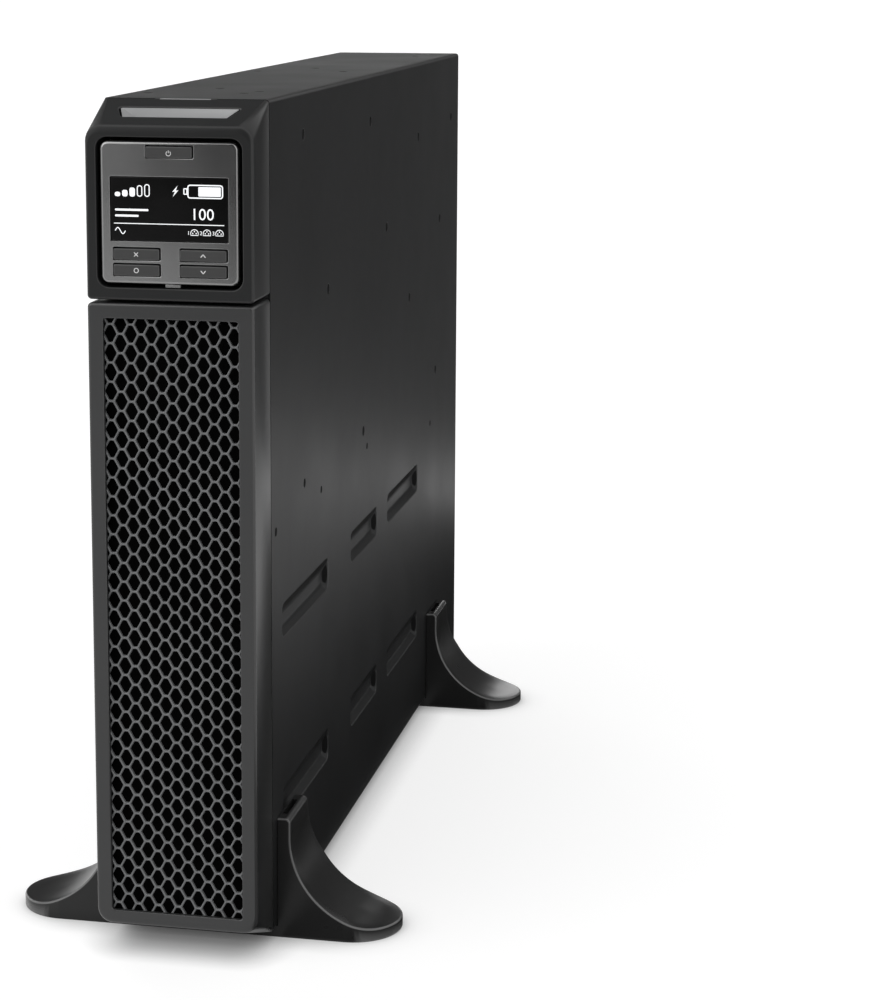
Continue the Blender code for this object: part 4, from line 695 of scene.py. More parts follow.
def bezelPatches(ends, mouth, inner, slot=None):
    # front face and rounded edge, outer walls, back rim and inner skin; inner is the hole in the inner skin
    wall, back, first = bezelLook["wall"], bezelDepth, bezelLook["edgeSteps"]

    def ring(depth, inset):
        return onPlane("y", frontY + depth)(bezelRing(depth, inset, ends))
    edge = [ring(depth, inset) for inset, depth in quarterRound(bezelLook["edge"], first)]
    outer = np.stack(edge + [ring(back - 0.7, 0), ring(back - 0.2, 0.15), ring(back, 0.5)])
    hollow = np.stack([ring(back, wall), ring(wall, wall)])
    patches = [
        sheetPatch([outer[0][:, ::2], offsetLoop(mouth, bezelLook["mouthEdge"])], onPlane("y", frontY)),
        sheetPatch([hollow[1][:, ::2], inner], onPlane("y", frontY + wall)),
        gridPatch(np.stack([outer[-1], hollow[0]]), True),
    ]
    skins = [gridPatch(outer, True), gridPatch(hollow, True)]
    if slot is not None:
        # the slanted roof's flat part is one quad of each skin; a sheet with the finger slot takes its place
        del skins[0][1][first * outer.shape[1] + roofQuad], skins[1][1][roofQuad]
        depth, lip = bezelLook["slotDepth"], bezelLook["slotEdge"]
        steps = [*quarterRound(lip, 3), (-0.3, depth), (1.0, depth), (1.2, wall)]
        patches.append(roofRings([(offsetLoop(slot, grow), drop) for grow, drop in steps]))
        for skin, row, grow, drop in ((outer, first, lip, 0), (hollow, 0, 1.2, wall)):
            near, far = skin[row:row + 2, roofQuad:roofQuad + 2, :2]
            flat = np.concatenate([near, far[::-1]])
            patches.append(sheetPatch([flat, offsetLoop(slot, grow)], roofPlane(drop)))
    return patches + skins


def mouthWall(loop, back):
    rim = quarterRound(bezelLook["mouthEdge"], 3)
    return wallPatch(loop, "y", [*(frontY + rim[:, 1]), back], [*-rim[:, 0], 0])


def pegPatches(heights):
    x, radius = caseHalf - bezelLook["pegInset"], bezelLook["pegRadius"]
    back, face = (bezelBack + end for end in bezelLook["pegEnds"])
    return joined(rodPatches((side * x, floorToCase + z), radius, face, back, edge=0.5, count=20)
                  for side in (-1, 1) for z in heights)


netLook = {"lip": 2.8, "column": 5.3, "row": 9.7, "flat": 2.65, "strand": 1.05, "corner": 0.9, "setback": 2.5,
           "thickness": 1.9, "overlap": 1.2, "columns": 8, "rows": 18}


def netHoles(low, high):
    # stretched flat-topped hexagons, each column of cells half a row above the next
    column, row, flat = netLook["column"], netLook["row"], netLook["flat"] / 2
    wide, tall = column - flat, row / 2
    cell = np.array([(wide, 0), (flat, tall), (-flat, tall), (-wide, 0), (-flat, -tall), (flat, -tall)])
    hole = filletedPolygon(offsetLoop(cell, -netLook["strand"] / 2), netLook["corner"], 2)
    middle = (low + high) / 2
    for c in range(-netLook["columns"], netLook["columns"] + 1):
        for r in np.arange(-netLook["rows"], netLook["rows"] + 1) + (c % 2) / 2:
            loop = clipToBox(hole + middle + (c * column, r * row), low, high)
            if loop is not None:
                yield loop


def makeLowerBezel():
    low, high = frontBox("bezel_mesh")
    windowLow, windowHigh = low + netLook["lip"], high - netLook["lip"]
    window = roundRect(windowLow, windowHigh, 1.6)
    patches = bezelPatches(((floorToCase, 1), (splitLow, 0)), window, window)
    patches += [mouthWall(window, frontY + bezelLook["wall"])] + pegPatches(bezelLook["lowerPegs"])
    makePiece("lower_bezel_shell", "lit_bezel_plastic", patches, "front_bezel", "lower_bezel",
              crease=38)
    # the net fills the window and goes on a little behind its edge
    face, more = frontY + netLook["setback"], netLook["overlap"]
    holes = list(netHoles(windowLow - more, windowHigh + more))
    outline, back = roundRect(low + 0.3, high - 0.3, 1.0), face + netLook["thickness"]
    net = solidPatches(outline, face, back, holes, edge=0.2, holeEdge=0.4)
    makePiece("bezel_net", "net_plastic", net, "bezel_mesh", "lower_bezel", crease=50)
    # a near-black sheet behind the net: painted shade that hides the inside
    foam = solidPatches(roundRect(low + 0.5, high - 0.5, 2.0), face + 4.5, face + 8.5, edge=0.8)
    makePiece("net_backing_shade", "backing_shade_foam", foam, body="lower_bezel")
    print("lower bezel and net done")


def slotLoop(front, back, near, far, corner):
    # a shape on the roof that widens to the back: half widths and depths of its front and back edges
    corners = [(-front, near), (front, near), (back, far), (-back, far)]
    return filletedPolygon(np.array(corners) + (0, frontY), corner)


def makeUpperBezel():
    low, high = frontBox("display_housing")
    centre = np.array([0.0, (low[1] + high[1]) / 2])
    opening = centredRect(centre, (2 * high[0] + 2 * bezelLook["wellMargin"],) * 2, bezelLook["wellCorner"])
    outside = offsetLoop(opening, bezelLook["wellWall"])
    floor = depthsOf("display_housing")[0] + bezelLook["wellDepth"]
    back = floor + bezelLook["wellWall"]
    bore = circle(centre, bezelLook["bore"], 48)
    (backHalf, backDepth), (frontHalf, frontDepth) = bezelLook["slotBack"], bezelLook["slotFront"]
    slot = slotLoop(frontHalf, backHalf, frontDepth, backDepth, bezelLook["slotCorner"])
    patches = bezelPatches(((splitHigh, 0), (caseTop, 1)), opening, outside, slot)
    patches += [
        mouthWall(opening, floor),
        sheetPatch([opening, bore], onPlane("y", floor)),
        wallPatch(bore, "y", [floor, back], [0, 0]),
        sheetPatch([outside, bore], onPlane("y", back)),
        wallPatch(outside, "y", [frontY + bezelLook["wall"], back], [0, 0]),
    ]
    patches += pegPatches(bezelLook["upperPegs"])
    makePiece("upper_bezel_shell", "bezel_plastic", patches, "display_bezel", crease=38)
    # light pressed dish in the finger slot: its ends slope in, its back wall is steep
    corner, top, deep, sheet = (bezelLook["dish" + part] for part in ("Corner", "Top", "Floor", "Sheet"))
    mouth = slotLoop(frontHalf - 0.6, backHalf - 1.6, frontDepth + 0.5, backDepth - 0.35, corner)
    pressed = slotLoop(frontHalf - 7.0, backHalf - 9.5, frontDepth + 1.5, backDepth - 0.9, corner)
    mouthIn, pressedIn = offsetLoop(mouth, -sheet), offsetLoop(pressed, -sheet)
    dish = [
        roofRings([(mouthIn, top), (pressedIn, deep)]), sheetPatch([pressedIn], roofPlane(deep)),
        roofRings([(mouth, top), (pressed, deep + sheet)]), sheetPatch([pressed], roofPlane(deep + sheet)),
        roofRings([(mouth, top), (mouthIn, top)]),
    ]
    makePiece("slot_tray", "slot_steel", dish)
    # a light strip between two dark blocks, painted shade standing for gaps behind the roof, and small
    # catches in the well beside the display
    half, stripY = bezelLook["stripHalf"], (bezelBack - 1.3, bezelBack - 0.1)
    strip = roundRect((-half, caseTop - 2.0), (half, caseTop - 0.05), 0.1, 2)
    makePiece("roof_strip", "slot_steel", solidPatches(strip, *stripY, edge=0.05))
    gaps = joined(solidPatches(centredRect((x, caseTop - 1.0), (2.6, 1.9), 0.1, 2), *stripY, edge=0.05)
                  for x in (-bezelLook["stripEnds"], bezelLook["stripEnds"]))
    x = high[0] + bezelLook["catchGap"]
    catches = [centredRect((x, z), (0.5, 3.4), 0.2, 2) for z in bezelLook["catches"]]
    gaps += joined(solidPatches(catch, frontY + 3.0, frontY + 6.0, edge=0.1) for catch in catches)
    makePiece("gap_shade_and_catches", "key_plastic", gaps)
    print("upper bezel done")


makeLowerBezel()
makeUpperBezel()


# Display module: satin housing, black window with lit marks, five keys

displayLook = {
    "corner": 3.8, "edge": 1.5, "depth": 20.0, "windowGap": 0.25, "windowDepth": 2.1, "spigot": 20.0,
    "keyGap": (0.14, 0.8), "keyDepth": 6.0, "keyCorner": 0.8,
    "markHeight": 0.04, "markEdge": 0.01, "digitHeight": 0.03,
    # heights above the window's lower edge and lengths along it
    "bars": (2.2, 3.2, 4.4, 5.6, 6.2), "barsLit": 3, "barPitch": 3.75, "barWidth": 2.8, "barBase": 21.6,
    "charge": 0.72, "reading": "100", "lines": ((14.6, 17.0), (11.7, 12.0)), "outletPitch": 6.3,
}
keyNodes = {"power_button": "power_key", "back_button": "back_key", "enter_button": "enter_key",
            "up_button": "up_key", "down_button": "down_key"}


def keyMark(node, centre, face):
    # simple line symbols: power ring, cross, ring and two chevrons
    x, z = centre
    top, width = face - displayLook["markHeight"], 0.42
    if node == "power_button":
        z -= 0.5
        return (strokePatches(arc((x, z), 1.15, 125, 415), 0.36, top, face)
                + strokePatches([(x, z + 0.25), (x, z + 1.5)], 0.36, top, face))
    if node == "back_button":
        arm, waist = 1.15, width * 0.71
        quarter = np.array([(waist, 0), (arm, arm - waist), (arm - waist, arm)])
        turns = [quarter @ np.array([(c, s), (-s, c)]) for c, s in ((1, 0), (0, 1), (-1, 0), (0, -1))]
        return solidPatches(np.concatenate(turns) + (x, z), top, face, edge=displayLook["markEdge"])
    if node == "enter_button":
        return strokePatches(arc((x, z), 1.1, 0, 345), width, top, face, closed=True)
    up = 1 if node == "up_button" else -1
    chevron = np.array([(-1.2, -0.7), (-0.06, 0.72), (0.06, 0.72), (1.2, -0.7)]) * (1, up)
    return strokePatches(chevron + (x, z), 0.5, top, face)


def screenPatches(low, high, face):
    # bar graph, battery gauge with a bolt, a number, plain lines, a wave and three numbered outlet signs
    top, middle = face - displayLook["markHeight"], face - displayLook["markHeight"] / 2
    fine = displayLook["markEdge"]

    def plate(x0, x1, z0, z1, radius=0.3):
        return solidPatches(roundRect((x0, z0), (x1, z1), radius, 3), top, face, edge=fine)

    def frameLine(x0, x1, z0, z1, radius, width):
        outer = roundRect((x0, z0), (x1, z1), radius, 4)
        return solidPatches(outer, top, face, holes=[offsetLoop(outer, -width)], edge=fine, holeEdge=fine)

    def digits(text, height, centre):
        return digitPatches(text, height, centre, middle, displayLook["digitHeight"])
    left, right, base = low[0] + 2.2, high[0] - 2.4, low[1]
    marks = []
    for index, tall in enumerate(displayLook["bars"]):
        x, z = left + index * displayLook["barPitch"], base + displayLook["barBase"]
        bar = (x, x + displayLook["barWidth"], z, z + tall)
        marks += plate(*bar, 1.0) if index < displayLook["barsLit"] else frameLine(*bar, 1.3, 0.5)
    # battery outline with its terminal on the left, filled from the right
    marks += frameLine(right - 18.0, right, base + 21.2, base + 28.0, 1.4, 0.6)
    marks += frameLine(right - 20.0, right - 17.9, base + 23.0, base + 26.2, 0.5, 0.55)
    marks += plate(right - 1.2 - 15.6 * displayLook["charge"], right - 1.2, base + 22.3, base + 26.9, 0.4)
    bolt = np.array([(1.3, 3.2), (-1.9, -0.4), (-0.2, -0.1), (-1.6, -3.2), (1.8, 0.6), (0.2, 0.4)]) * 0.85
    marks += solidPatches(bolt + (right - 24.0, base + 24.6), top, face, edge=fine)
    marks += digits(displayLook["reading"], 5.6, (right - 10.5, base + 13.2))
    for up, long in displayLook["lines"]:
        marks += plate(left, left + long, base + up, base + up + 1.0, 0.4)
    marks += plate(left - 0.6, right + 0.4, base + 8.2, base + 8.6, 0.1)
    turn = np.linspace(0, 1, 25)
    wave = np.stack([left + 5.2 * turn, base + 4.8 + 1.5 * np.sin(turn * 2 * math.pi)], -1)
    marks += strokePatches(wave, 0.45, top, face)
    for index in range(3):
        x, z = right - 2.0 - (2 - index) * displayLook["outletPitch"], base + 4.2
        dome = np.concatenate([arc((x, z), 1.9, 0, 180, 14), [(x - 1.9, z - 0.9), (x + 1.9, z - 0.9)]])
        marks += strokePatches(dome, 0.34, top, face, closed=True)
        for dx, dz in ((-0.85, -0.25), (0.0, 0.75), (0.85, -0.25)):
            marks += plate(x + dx - 0.25, x + dx + 0.25, z + dz - 0.1, z + dz + 0.6, 0.2)
        marks += digits(str(index + 1), 1.9, (x - 3.0, z + 0.1))
    return marks


def makeDisplay():
    low, high = frontBox("display_housing")
    face = depthsOf("display_housing")[0]
    back = face + displayLook["depth"]
    windowLow, windowHigh = frontBox("display_window")
    windowFace, windowBack = depthsOf("display_window")
    gap, (near, far) = displayLook["windowGap"], displayLook["keyGap"]
    pockets = [(roundRect(windowLow - gap, windowHigh + gap, 0.6), displayLook["windowDepth"])]
    for node in keyNodes:
        keyLow, keyHigh = frontBox(node)
        pockets.append((roundRect(keyLow - near, keyHigh + far, 0.9), displayLook["keyDepth"]))
    patches = solidPatches(roundRect(low, high, displayLook["corner"]), face, back, pockets=pockets,
                           edge=displayLook["edge"], holeEdge=0.3, steps=5)
    patches += rodPatches((low + high) / 2, displayLook["spigot"], back + 7.0, back - 0.5, edge=0.8, count=48)
    tab = centredRect((1.4, low[1] - 0.7), (7.6, 1.6), 0.3, 3)
    patches += solidPatches(tab, face + 0.6, face + 4.0, edge=0.2)
    makePiece("display_case", "display_plastic", patches, "display_housing", "display", 38)
    glass = solidPatches(roundRect(windowLow, windowHigh, 0.5), windowFace, windowBack, edge=0.35)
    makePiece("display_glass", "screen_glass", glass, "display_window", "display")
    marks = screenPatches(windowLow, windowHigh, windowFace)
    makePiece("display_marks", "screen_marks", marks, body="display")
    for node, body in keyNodes.items():
        keyLow, keyHigh = frontBox(node)
        keyFace, keyBack = depthsOf(node)
        outline = roundRect(keyLow, keyHigh, displayLook["keyCorner"])
        cap = solidPatches(outline, keyFace, keyBack, edge=0.5, steps=4)
        makePiece(node + "_cap", "key_plastic", cap, node, body)
        mark = keyMark(node, (keyLow + keyHigh) / 2, keyFace)
        makePiece(node + "_mark", "print_ink", mark, body=body)
    print("display done")


makeDisplay()


# Feet: a wall beside the case, a scooped wing and a rounded tongue

footLook = {
    "base": 6.0, "wall": 42.8, "skin": 49.5, "top": 65.0, "scoop": (97.5, 54.5), "scoopRadius": 48.0,
    "tongue": 26.0, "tip": 104.0, "lean": 12.0, "shoulder": 30.0, "edge": 1.1, "topRound": 2.6,
    "pocket": (2.8, 12.0, 30.0), "pocketWall": 0.6, "seam": 0.15, "chamfer": 0.6,
    "upright": (56, 74),  # the top line's normals turn upright between these two x
}


def scoopHeight(x):
    # the wing's top: a concave arc that ends level near the tip
    (cx, cz), radius = footLook["scoop"], footLook["scoopRadius"]
    return cz - np.sqrt(np.maximum(radius ** 2 - np.maximum(cx - x, 0) ** 2, 0))


def footPatches(y0, y1):
    wall, top, base, edge, seam = (footLook[part] for part in ("wall", "top", "base", "edge", "seam"))
    (cx, cz), radius, over = footLook["scoop"], footLook["scoopRadius"], footLook["topRound"]
    mid, half, start = (y0 + y1) / 2, (y1 - y0) / 2, footLook["tip"] - footLook["tongue"]
    # stations of the top line, from the inner wall over the top and down the scoop, with their normals
    turn = np.radians(np.linspace(90, 0, 6))
    sweep = np.arange(0.0, 1.0001, 1 / 22) * math.acos((cx - start) / radius)
    crest = np.array([footLook["skin"] - over, top - over]) + over * direction(turn)
    line = np.concatenate([[(wall, top)], crest, np.array([cx, cz]) - radius * direction(sweep)])
    normal = np.concatenate([[(0, 1)], direction(turn), direction(sweep)])
    first, last = footLook["upright"]
    upright = np.clip((line[:, 0] - first) / (last - first), 0, 1)[:, None]
    normal = unit(normal * (1 - upright) + np.array([0, 1]) * upright)
    # the rounding goes from the side face (full drop) to the top line (no drop)
    side = np.radians(np.linspace(0, 90, 5))[:-1]
    inward, drop = edge * (1 - np.cos(side)), edge * (1 - np.sin(side))
    across = np.concatenate([-half + inward, np.linspace(-1, 1, 9) * (half - edge), half - inward[::-1]])
    sink = np.concatenate([drop, np.zeros(9), drop[::-1]])
    grid = np.empty((len(line), len(across), 3))
    grid[..., [0, 2]] = line[:, None] - normal[:, None] * sink[:, None]
    grid[..., 1] = mid + across
    grid[0, :, 0] = wall
    wide, deep, long = footLook["pocket"]
    hole = centredRect((wall + footLook["pocketWall"] + wide / 2, mid), (wide, long), 0.6, 3)
    ledge = np.concatenate([grid[0, 4:-4, :2], grid[1, 4:-4, :2][::-1]])
    patches = [
        gridPatch(grid[1:]), gridPatch(grid[:2, :5]), gridPatch(grid[:2, -5:]),
        sheetPatch([ledge, hole], onPlane("z", top)),
        wallPatch(hole, "z", [top, top - deep], [0, 0]),
        sheetPatch([hole], onPlane("z", top - deep)),
    ]
    # side faces, split where the back starts to lean
    rim = grid[:, 0][:, [0, 2]]
    split = int(np.argmin(np.abs(rim[8:, 1] - footLook["shoulder"]))) + 8
    shoulder = rim[split, 1]
    upper = np.concatenate([[(wall, shoulder)], rim[split::-1]])
    corners = [(rim[-1, 0], 0), (seam, 0), (seam, base), (wall, base), (wall, shoulder)]
    lower = np.concatenate([rim[split:], corners])
    patches += [sheetPatch([outline], onPlane("y", y)) for y in (y0, y1) for outline in (upper, lower)]
    # inner wall, the base's top and its seam under the case
    rows = [np.stack([0 * across + x, mid + across, 0 * across + z], -1)
            for x, z in ((wall, shoulder), (wall, base), (seam, base))]
    meeting = np.array([(seam, 0), (seam, base)])
    patches += [gridPatch(np.stack([grid[0], *rows])),
                gridPatch(np.stack([onPlane("y", y)(meeting) for y in (y0, y1)], 1))]
    # tongue: rays from the middle of its straight edge, over the rim and down to the floor
    ray = np.radians(np.linspace(-90, 90, 33))
    reach = np.concatenate([np.linspace(0, 1, 5) * (half - edge), half - inward[::-1]])[:, None]
    fall = np.concatenate([np.zeros(5), drop[::-1]])[:, None]
    x, y = start + np.cos(ray) * reach, mid + np.sin(ray) * reach
    shell = np.stack([x, y, scoopHeight(x) - fall], -1)
    chamfer, none = footLook["chamfer"] * np.cos(ray), np.zeros(len(ray))
    skirt = [(x[-1], y[-1], chamfer), (x[-1] - chamfer, y[-1], none), (none + start, none + mid, none)]
    patches.append(gridPatch(np.concatenate([shell, np.stack([np.stack(row, -1) for row in skirt])])))
    sole = np.array([(seam, y0), (start, y0), (start, mid), (start, y1), (seam, y1)])
    patches.append(sheetPatch([sole], onPlane("z", 0.0)))

    def leaned(points):
        # the back leans forward above the shoulder
        rise = np.clip((points[:, 2] - shoulder) / (top - shoulder), 0, 1)
        y = y0 + (points[:, 1] - y0) * (1 - rise * footLook["lean"] / (y1 - y0))
        return np.stack([points[:, 0], y, points[:, 2]], -1)
    return [(leaned(points), faces, flat) for points, faces, flat in patches]


def makeFeet():
    for node in ("front_left_foot", "front_right_foot", "rear_left_foot", "rear_right_foot"):
        side = 1 if nodeBox(node)[1][0] > caseHalf else -1
        patches = footPatches(*depthsOf(node))
        patches = [(points * (side, 1, 1), faces, flat) for points, faces, flat in patches]
        makePiece(node + "_shell", "foot_plastic", patches, node, crease=42)
    print("feet done")


makeFeet()


# Rear panel: vents, openings and the fittings in them. Heights here are above the case's bottom.

rearBase = np.array([0, floorToCase])
rearLook = {
    "ventPitch": 5.08, "ventRow": 4.4, "ventTop": 402.3, "ventLeft": 1.5, "ventWidth": 4.3, "ventRows": 40,
    "ventColumns": 8, "ventNarrow": (27, 0.74),  # holes beyond this x are narrower
    # vent limits: rows down to a height, the low and high x of the holes there and their lowest edge
    "ventLimits": ((391.0, 1.3, 21.6, 0.0), (386.5, 1.3, 25.0, 0.0), (279.0, 1.3, 37.2, 0.0),
                   (253.8, 7.0, 37.2, 253.9), (227.0, 7.0, 20.2, 0.0)),
    "ventBlanks": ((19.5, 355.5, 7.0), (37.9, 301.4, 6.4)),
    # centre x, height, width and height of the openings
    "network": (16.0, 413.9, 16.0, 13.5), "serial": (-3.45, 414.1, 15.6, 13.2),
    "usb": (-27.35, 413.05, 6.2, 13.0), "terminal": (31.55, 397.65, 8.0, 16.4),
    "cabinet": (-4.9, 209.2, 50.6, 17.7), "cardBay": (-19.05, 344.8, 30.0, 100.0),
    "airSlots": ((-15.95, 279.0, 21.5, 2.0), (-32.7, 279.0, 7.4, 2.0)), "portGap": 0.5,
    "inlet": (-20.6, 254.3), "inletHole": (27.0, 34.2, 2.0), "smallHole": (-4.1, 193.8, 1.85),
    # low and high x, low and high height
    "outletBay": (-34, 37, 32, 178), "inletField": (-39.3, 6.6, 230, 277.2),
    "brackets": (27.1, 40.7, 217.8, 254.6),
    "grips": ((-22.6, 392.6, 22.2, 3.2), (-22.6, 294.9, 22.2, 3.2)),
    "studs": ((-4.3, 400.0), (-34.5, 400.0), (-4.6, 289.6), (-34.0, 289.6)), "studRadius": 1.4,
    "fieldHeight": 0.22, "bracketArms": (4.6, 3.8), "bracketWidth": 0.5,
}


def rearRect(x, z, width, height, radius=0.2, steps=3):
    return centredRect((x, floorToCase + z), (width, height), radius, steps)


def rearSpan(x0, x1, z0, z1, radius):
    return roundRect(rearBase + (x0, z0), rearBase + (x1, z1), radius)


def rearBlocks(x, z, face, rows):
    # small blocks, each with its place and size, corner radius, front and back from the face, and edge
    return joined(
        solidPatches(rearRect(x + dx, z + dz, width, height, corner), face + front, face + back, edge=edge)
        for dx, dz, width, height, corner, front, back, edge in rows)


def ventHoles():
    # rows of point-up hexagons, every second row half a pitch across, cut where the vent area ends
    pitch, (narrowFrom, narrow) = rearLook["ventPitch"], rearLook["ventNarrow"]
    turn = np.radians(30 + 60 * np.arange(6))
    hexagon = direction(turn) * rearLook["ventWidth"] / 2 / math.cos(math.radians(30))
    for k in range(rearLook["ventRows"]):
        z = rearLook["ventTop"] - rearLook["ventRow"] * k
        zone = next((limit for limit in rearLook["ventLimits"] if z > limit[0]), None)
        if zone is None:
            break
        _, left, right, lowest = zone
        for x in rearLook["ventLeft"] + pitch / 2 * (k % 2) + pitch * np.arange(rearLook["ventColumns"]):
            if any(math.hypot(x - bx, z - bz) < radius for bx, bz, radius in rearLook["ventBlanks"]):
                continue
            cell = hexagon * (narrow if x > narrowFrom else 1.0, 1) + (x, z)
            loop = clipToBox(cell, (left, lowest), (right, caseHeight))
            if loop is not None:
                yield loop + rearBase


def makeRearPanel():
    inletHole = rearRect(*rearLook["inlet"], *rearLook["inletHole"])
    holes, gap = list(ventHoles()), rearLook["portGap"]
    for name in ("network", "serial", "usb", "terminal"):
        x, z, width, height = rearLook[name]
        holes.append(rearRect(x, z, width + gap, height + gap))
    holes += [rearRect(*rearLook["cabinet"], 0.6), inletHole]
    holes += [rearRect(*slot) for slot in rearLook["airSlots"]]
    holes += [rearRect(*rearLook["cardBay"], 1.0), rearSpan(*rearLook["outletBay"], 1.0)]
    x, z, radius = rearLook["smallHole"]
    holes.append(circle(rearBase + (x, z), radius, 24))
    panel = roundRect(*frontBox("rear_panel"), 1.0)
    patches = solidPatches(panel, rearY, rearY - caseLook["sheet"], holes, edge=0.4, holeEdge=0.15)
    # thin raised field round the inlet
    field = rearSpan(*rearLook["inletField"], 1.2)
    patches += solidPatches(field, rearY + rearLook["fieldHeight"], rearY - 0.3, [inletHole], edge=0.2)
    makePiece("rear_panel_sheet", "rear_panel_paint", patches, "rear_panel")
    back, face = depthsOf("card_slot_cover")
    cover = roundRect(*frontBox("card_slot_cover"), 2.0)
    grips = [rearRect(*grip, 0.3) for grip in rearLook["grips"]]
    patches = solidPatches(cover, face, back, grips, edge=0.5, holeEdge=0.15)
    radius = rearLook["studRadius"]
    patches += joined(rodPatches(rearBase + stud, radius, face + 0.35, face - 0.5, edge=0.33, count=20)
                      for stud in rearLook["studs"])
    makePiece("card_cover_sheet", "rear_panel_paint", patches, "card_slot_cover")
    print("rear panel done:", len(holes), "holes")


def makeRearPrint():
    # printed corner brackets and numerals, and small bright lugs
    ink = []
    (x0, x1, z0, z1), (across, up) = rearLook["brackets"], rearLook["bracketArms"]
    for x, sx in ((x0, 1), (x1, -1)):
        for z, sz in ((z0 + floorToCase, 1), (z1 + floorToCase, -1)):
            corner = [(x + sx * across, z), (x + sx * 0.01, z), (x, z + sz * 0.01), (x, z + sz * up)]
            ink += strokePatches(corner, rearLook["bracketWidth"], rearY + 0.05, rearY - 0.05)
    x, z, width, height = rearLook["terminal"]
    for index in range(4):
        place = (x - width / 2 - 1.7, floorToCase + z + (1.5 - index) * height / 4)
        ink += digitPatches(str(index + 1), 1.7, place, rearY + 0.02, 0.06, True)
    makePiece("rear_print", "print_ink", ink)
    x, z, width, height = rearLook["cabinet"]
    lugs = rearBlocks(0, 0, rearY, [
        (-29.9, 224.1, 2.0, 5.6, 0.2, 0.7, -0.4, 0.15), (29.15, 200.9, 5.3, 2.4, 0.2, 0.7, -0.4, 0.15),
        (x - width / 2 - 0.5, z, 0.9, height, 0.2, 0.5, -0.4, 0.15),
        (x, z - height / 2 - 0.3, width, 0.5, 0.2, 0.4, -0.4, 0.1),
        (-15.95, 278.2, 21.0, 0.5, 0.2, 0.3, -0.4, 0.1),
    ])
    makePiece("rear_lugs", "slot_steel", lugs)


makeRearPanel()
makeRearPrint()


# Outlets on their light plate

outletLook = {
    # x, height and radius of the corners of the plate and of its dark label
    "plate": ((-29.8, 0.4, 1.5), (26.9, 0.4, 1.5), (26.9, 10.6, 0.6), (42.0, 10.6, 0.8), (42.0, 183.6, 0.8),
              (38.5, 183.6, 0.4), (38.5, 192.2, 2.4), (5.4, 192.2, 5.0), (-0.6, 188.7, 3.4),
              (-7.2, 188.7, 3.4), (-13.2, 192.2, 5.0), (-35.6, 192.2, 2.4), (-35.6, 183.6, 0.4),
              (-38.4, 183.6, 0.8), (-38.4, 10.6, 0.8), (-29.8, 10.6, 0.6)),
    "label": ((-36.4, 23.6, 2.4), (38.9, 23.6, 2.4), (38.9, 183.5, 2.4), (2.6, 183.5, 0.05),
              (1.25, 182.3, 0.05), (-0.1, 183.5, 0.05), (-36.4, 183.5, 0.8)),
    "labelHeight": 0.15, "labelBack": -0.1, "lineWidth": 0.32,
    # low and high x, low and high height
    "lightField": (-34.6, 37.2, 133.4, 177.8), "darkPatch": (-14, 13.5, 12, 19.6),
    "smallOpening": (-31.5, 34.0, 37.5, 131.0), "largeOpening": (-30.5, 33.0, 136.8, 175.5),
    "largeBlock": (-32.6, 35.1, 134.6, 177.7),
    # x, height and size of the printed numbers
    "numbers": (("1", 20.3, 28.4, 4.4), ("2", -17.2, 28.4, 4.4), ("3", 17.5, 180.4, 3.2),
                ("4", -15.0, 180.4, 3.2)),
    "largeX": {17.5: 1, -15.0: -1},  # with the side that the slots' offsets are counted to
    "largeZ": 156.1, "largeRing": (27.9, 35.1), "largeCore": (20.8, 28.2), "largeSlot": (3.5, 7.0),
    "largeSlots": ((4.0, 6.5), (4.0, -6.5), (-4.2, 0.0)),
    "bankX": {"outlet_bank_right": 20.3, "outlet_bank_left": -17.2}, "bankZ": (35.6, 132.5),
    "bankWidth": 36.5, "socketZ": (118.7, 95.1, 71.5, 47.9),
    "socketRing": (31.2, 21.4, 6.0), "socketCore": (23.8, 15.7, 4.6),  # width, height, cut of the corners
    "socketSlot": (2.9, 5.0), "socketSlots": ((-7.4, 1.8), (7.4, 1.8), (0.0, -1.7)),
    "flange": 2.35, "flangeOver": 2.0, "ringDepth": 16.0, "slotDepth": 12.0,
}


def rearPolygon(rows):
    corners = np.array(rows)
    return filletedPolygon(corners[:, :2] + rearBase, corners[:, 2])


def socketOutline(x, z, width, height, chamfer, radius):
    # a rectangle with its two lower corners cut off
    w, h, c = width / 2, height / 2, chamfer
    corners = np.array([(c - w, -h), (w - c, -h), (w, c - h), (w, h), (-w, h), (-w, c - h)])
    return filletedPolygon(corners + (x, floorToCase + z), (0.8, 0.8, 0.8, radius, radius, 0.8), 4)


def blockPieces(name, stands, outline, rings, cores, slots):
    # a flanged block with openings, the cores that stand in them, and dark floors in the cores' slots,
    # painted shade
    back, face = depthsOf(stands)
    joint, deep = face - outletLook["flange"], face - outletLook["ringDepth"]
    patches = solidPatches(outline, face, joint, rings, edge=1.0, holeEdge=0.7, steps=4)
    patches += solidPatches(offsetLoop(outline, -outletLook["flangeOver"]), joint, back,
                            pockets=[(ring, joint - deep) for ring in rings], edge=0.05, holeEdge=0.01)
    makePiece(name + "_frame", "outlet_plastic", patches, stands)
    depth, patches = outletLook["slotDepth"], []
    for core, cuts in zip(cores, slots):
        pockets = [(cut, depth) for cut in cuts]
        patches += solidPatches(core, face - 0.3, deep - 0.5, (), pockets, edge=0.9, holeEdge=0.15, steps=4)
    makePiece(name + "_cores", "socket_plastic", patches)
    floors = joined(solidPatches(offsetLoop(cut, -0.02), face - 2.2, face - depth - 0.2, edge=0.05)
                    for cuts in slots for cut in cuts)
    makePiece(name + "_slot_shade", "cavity_shade", floors)


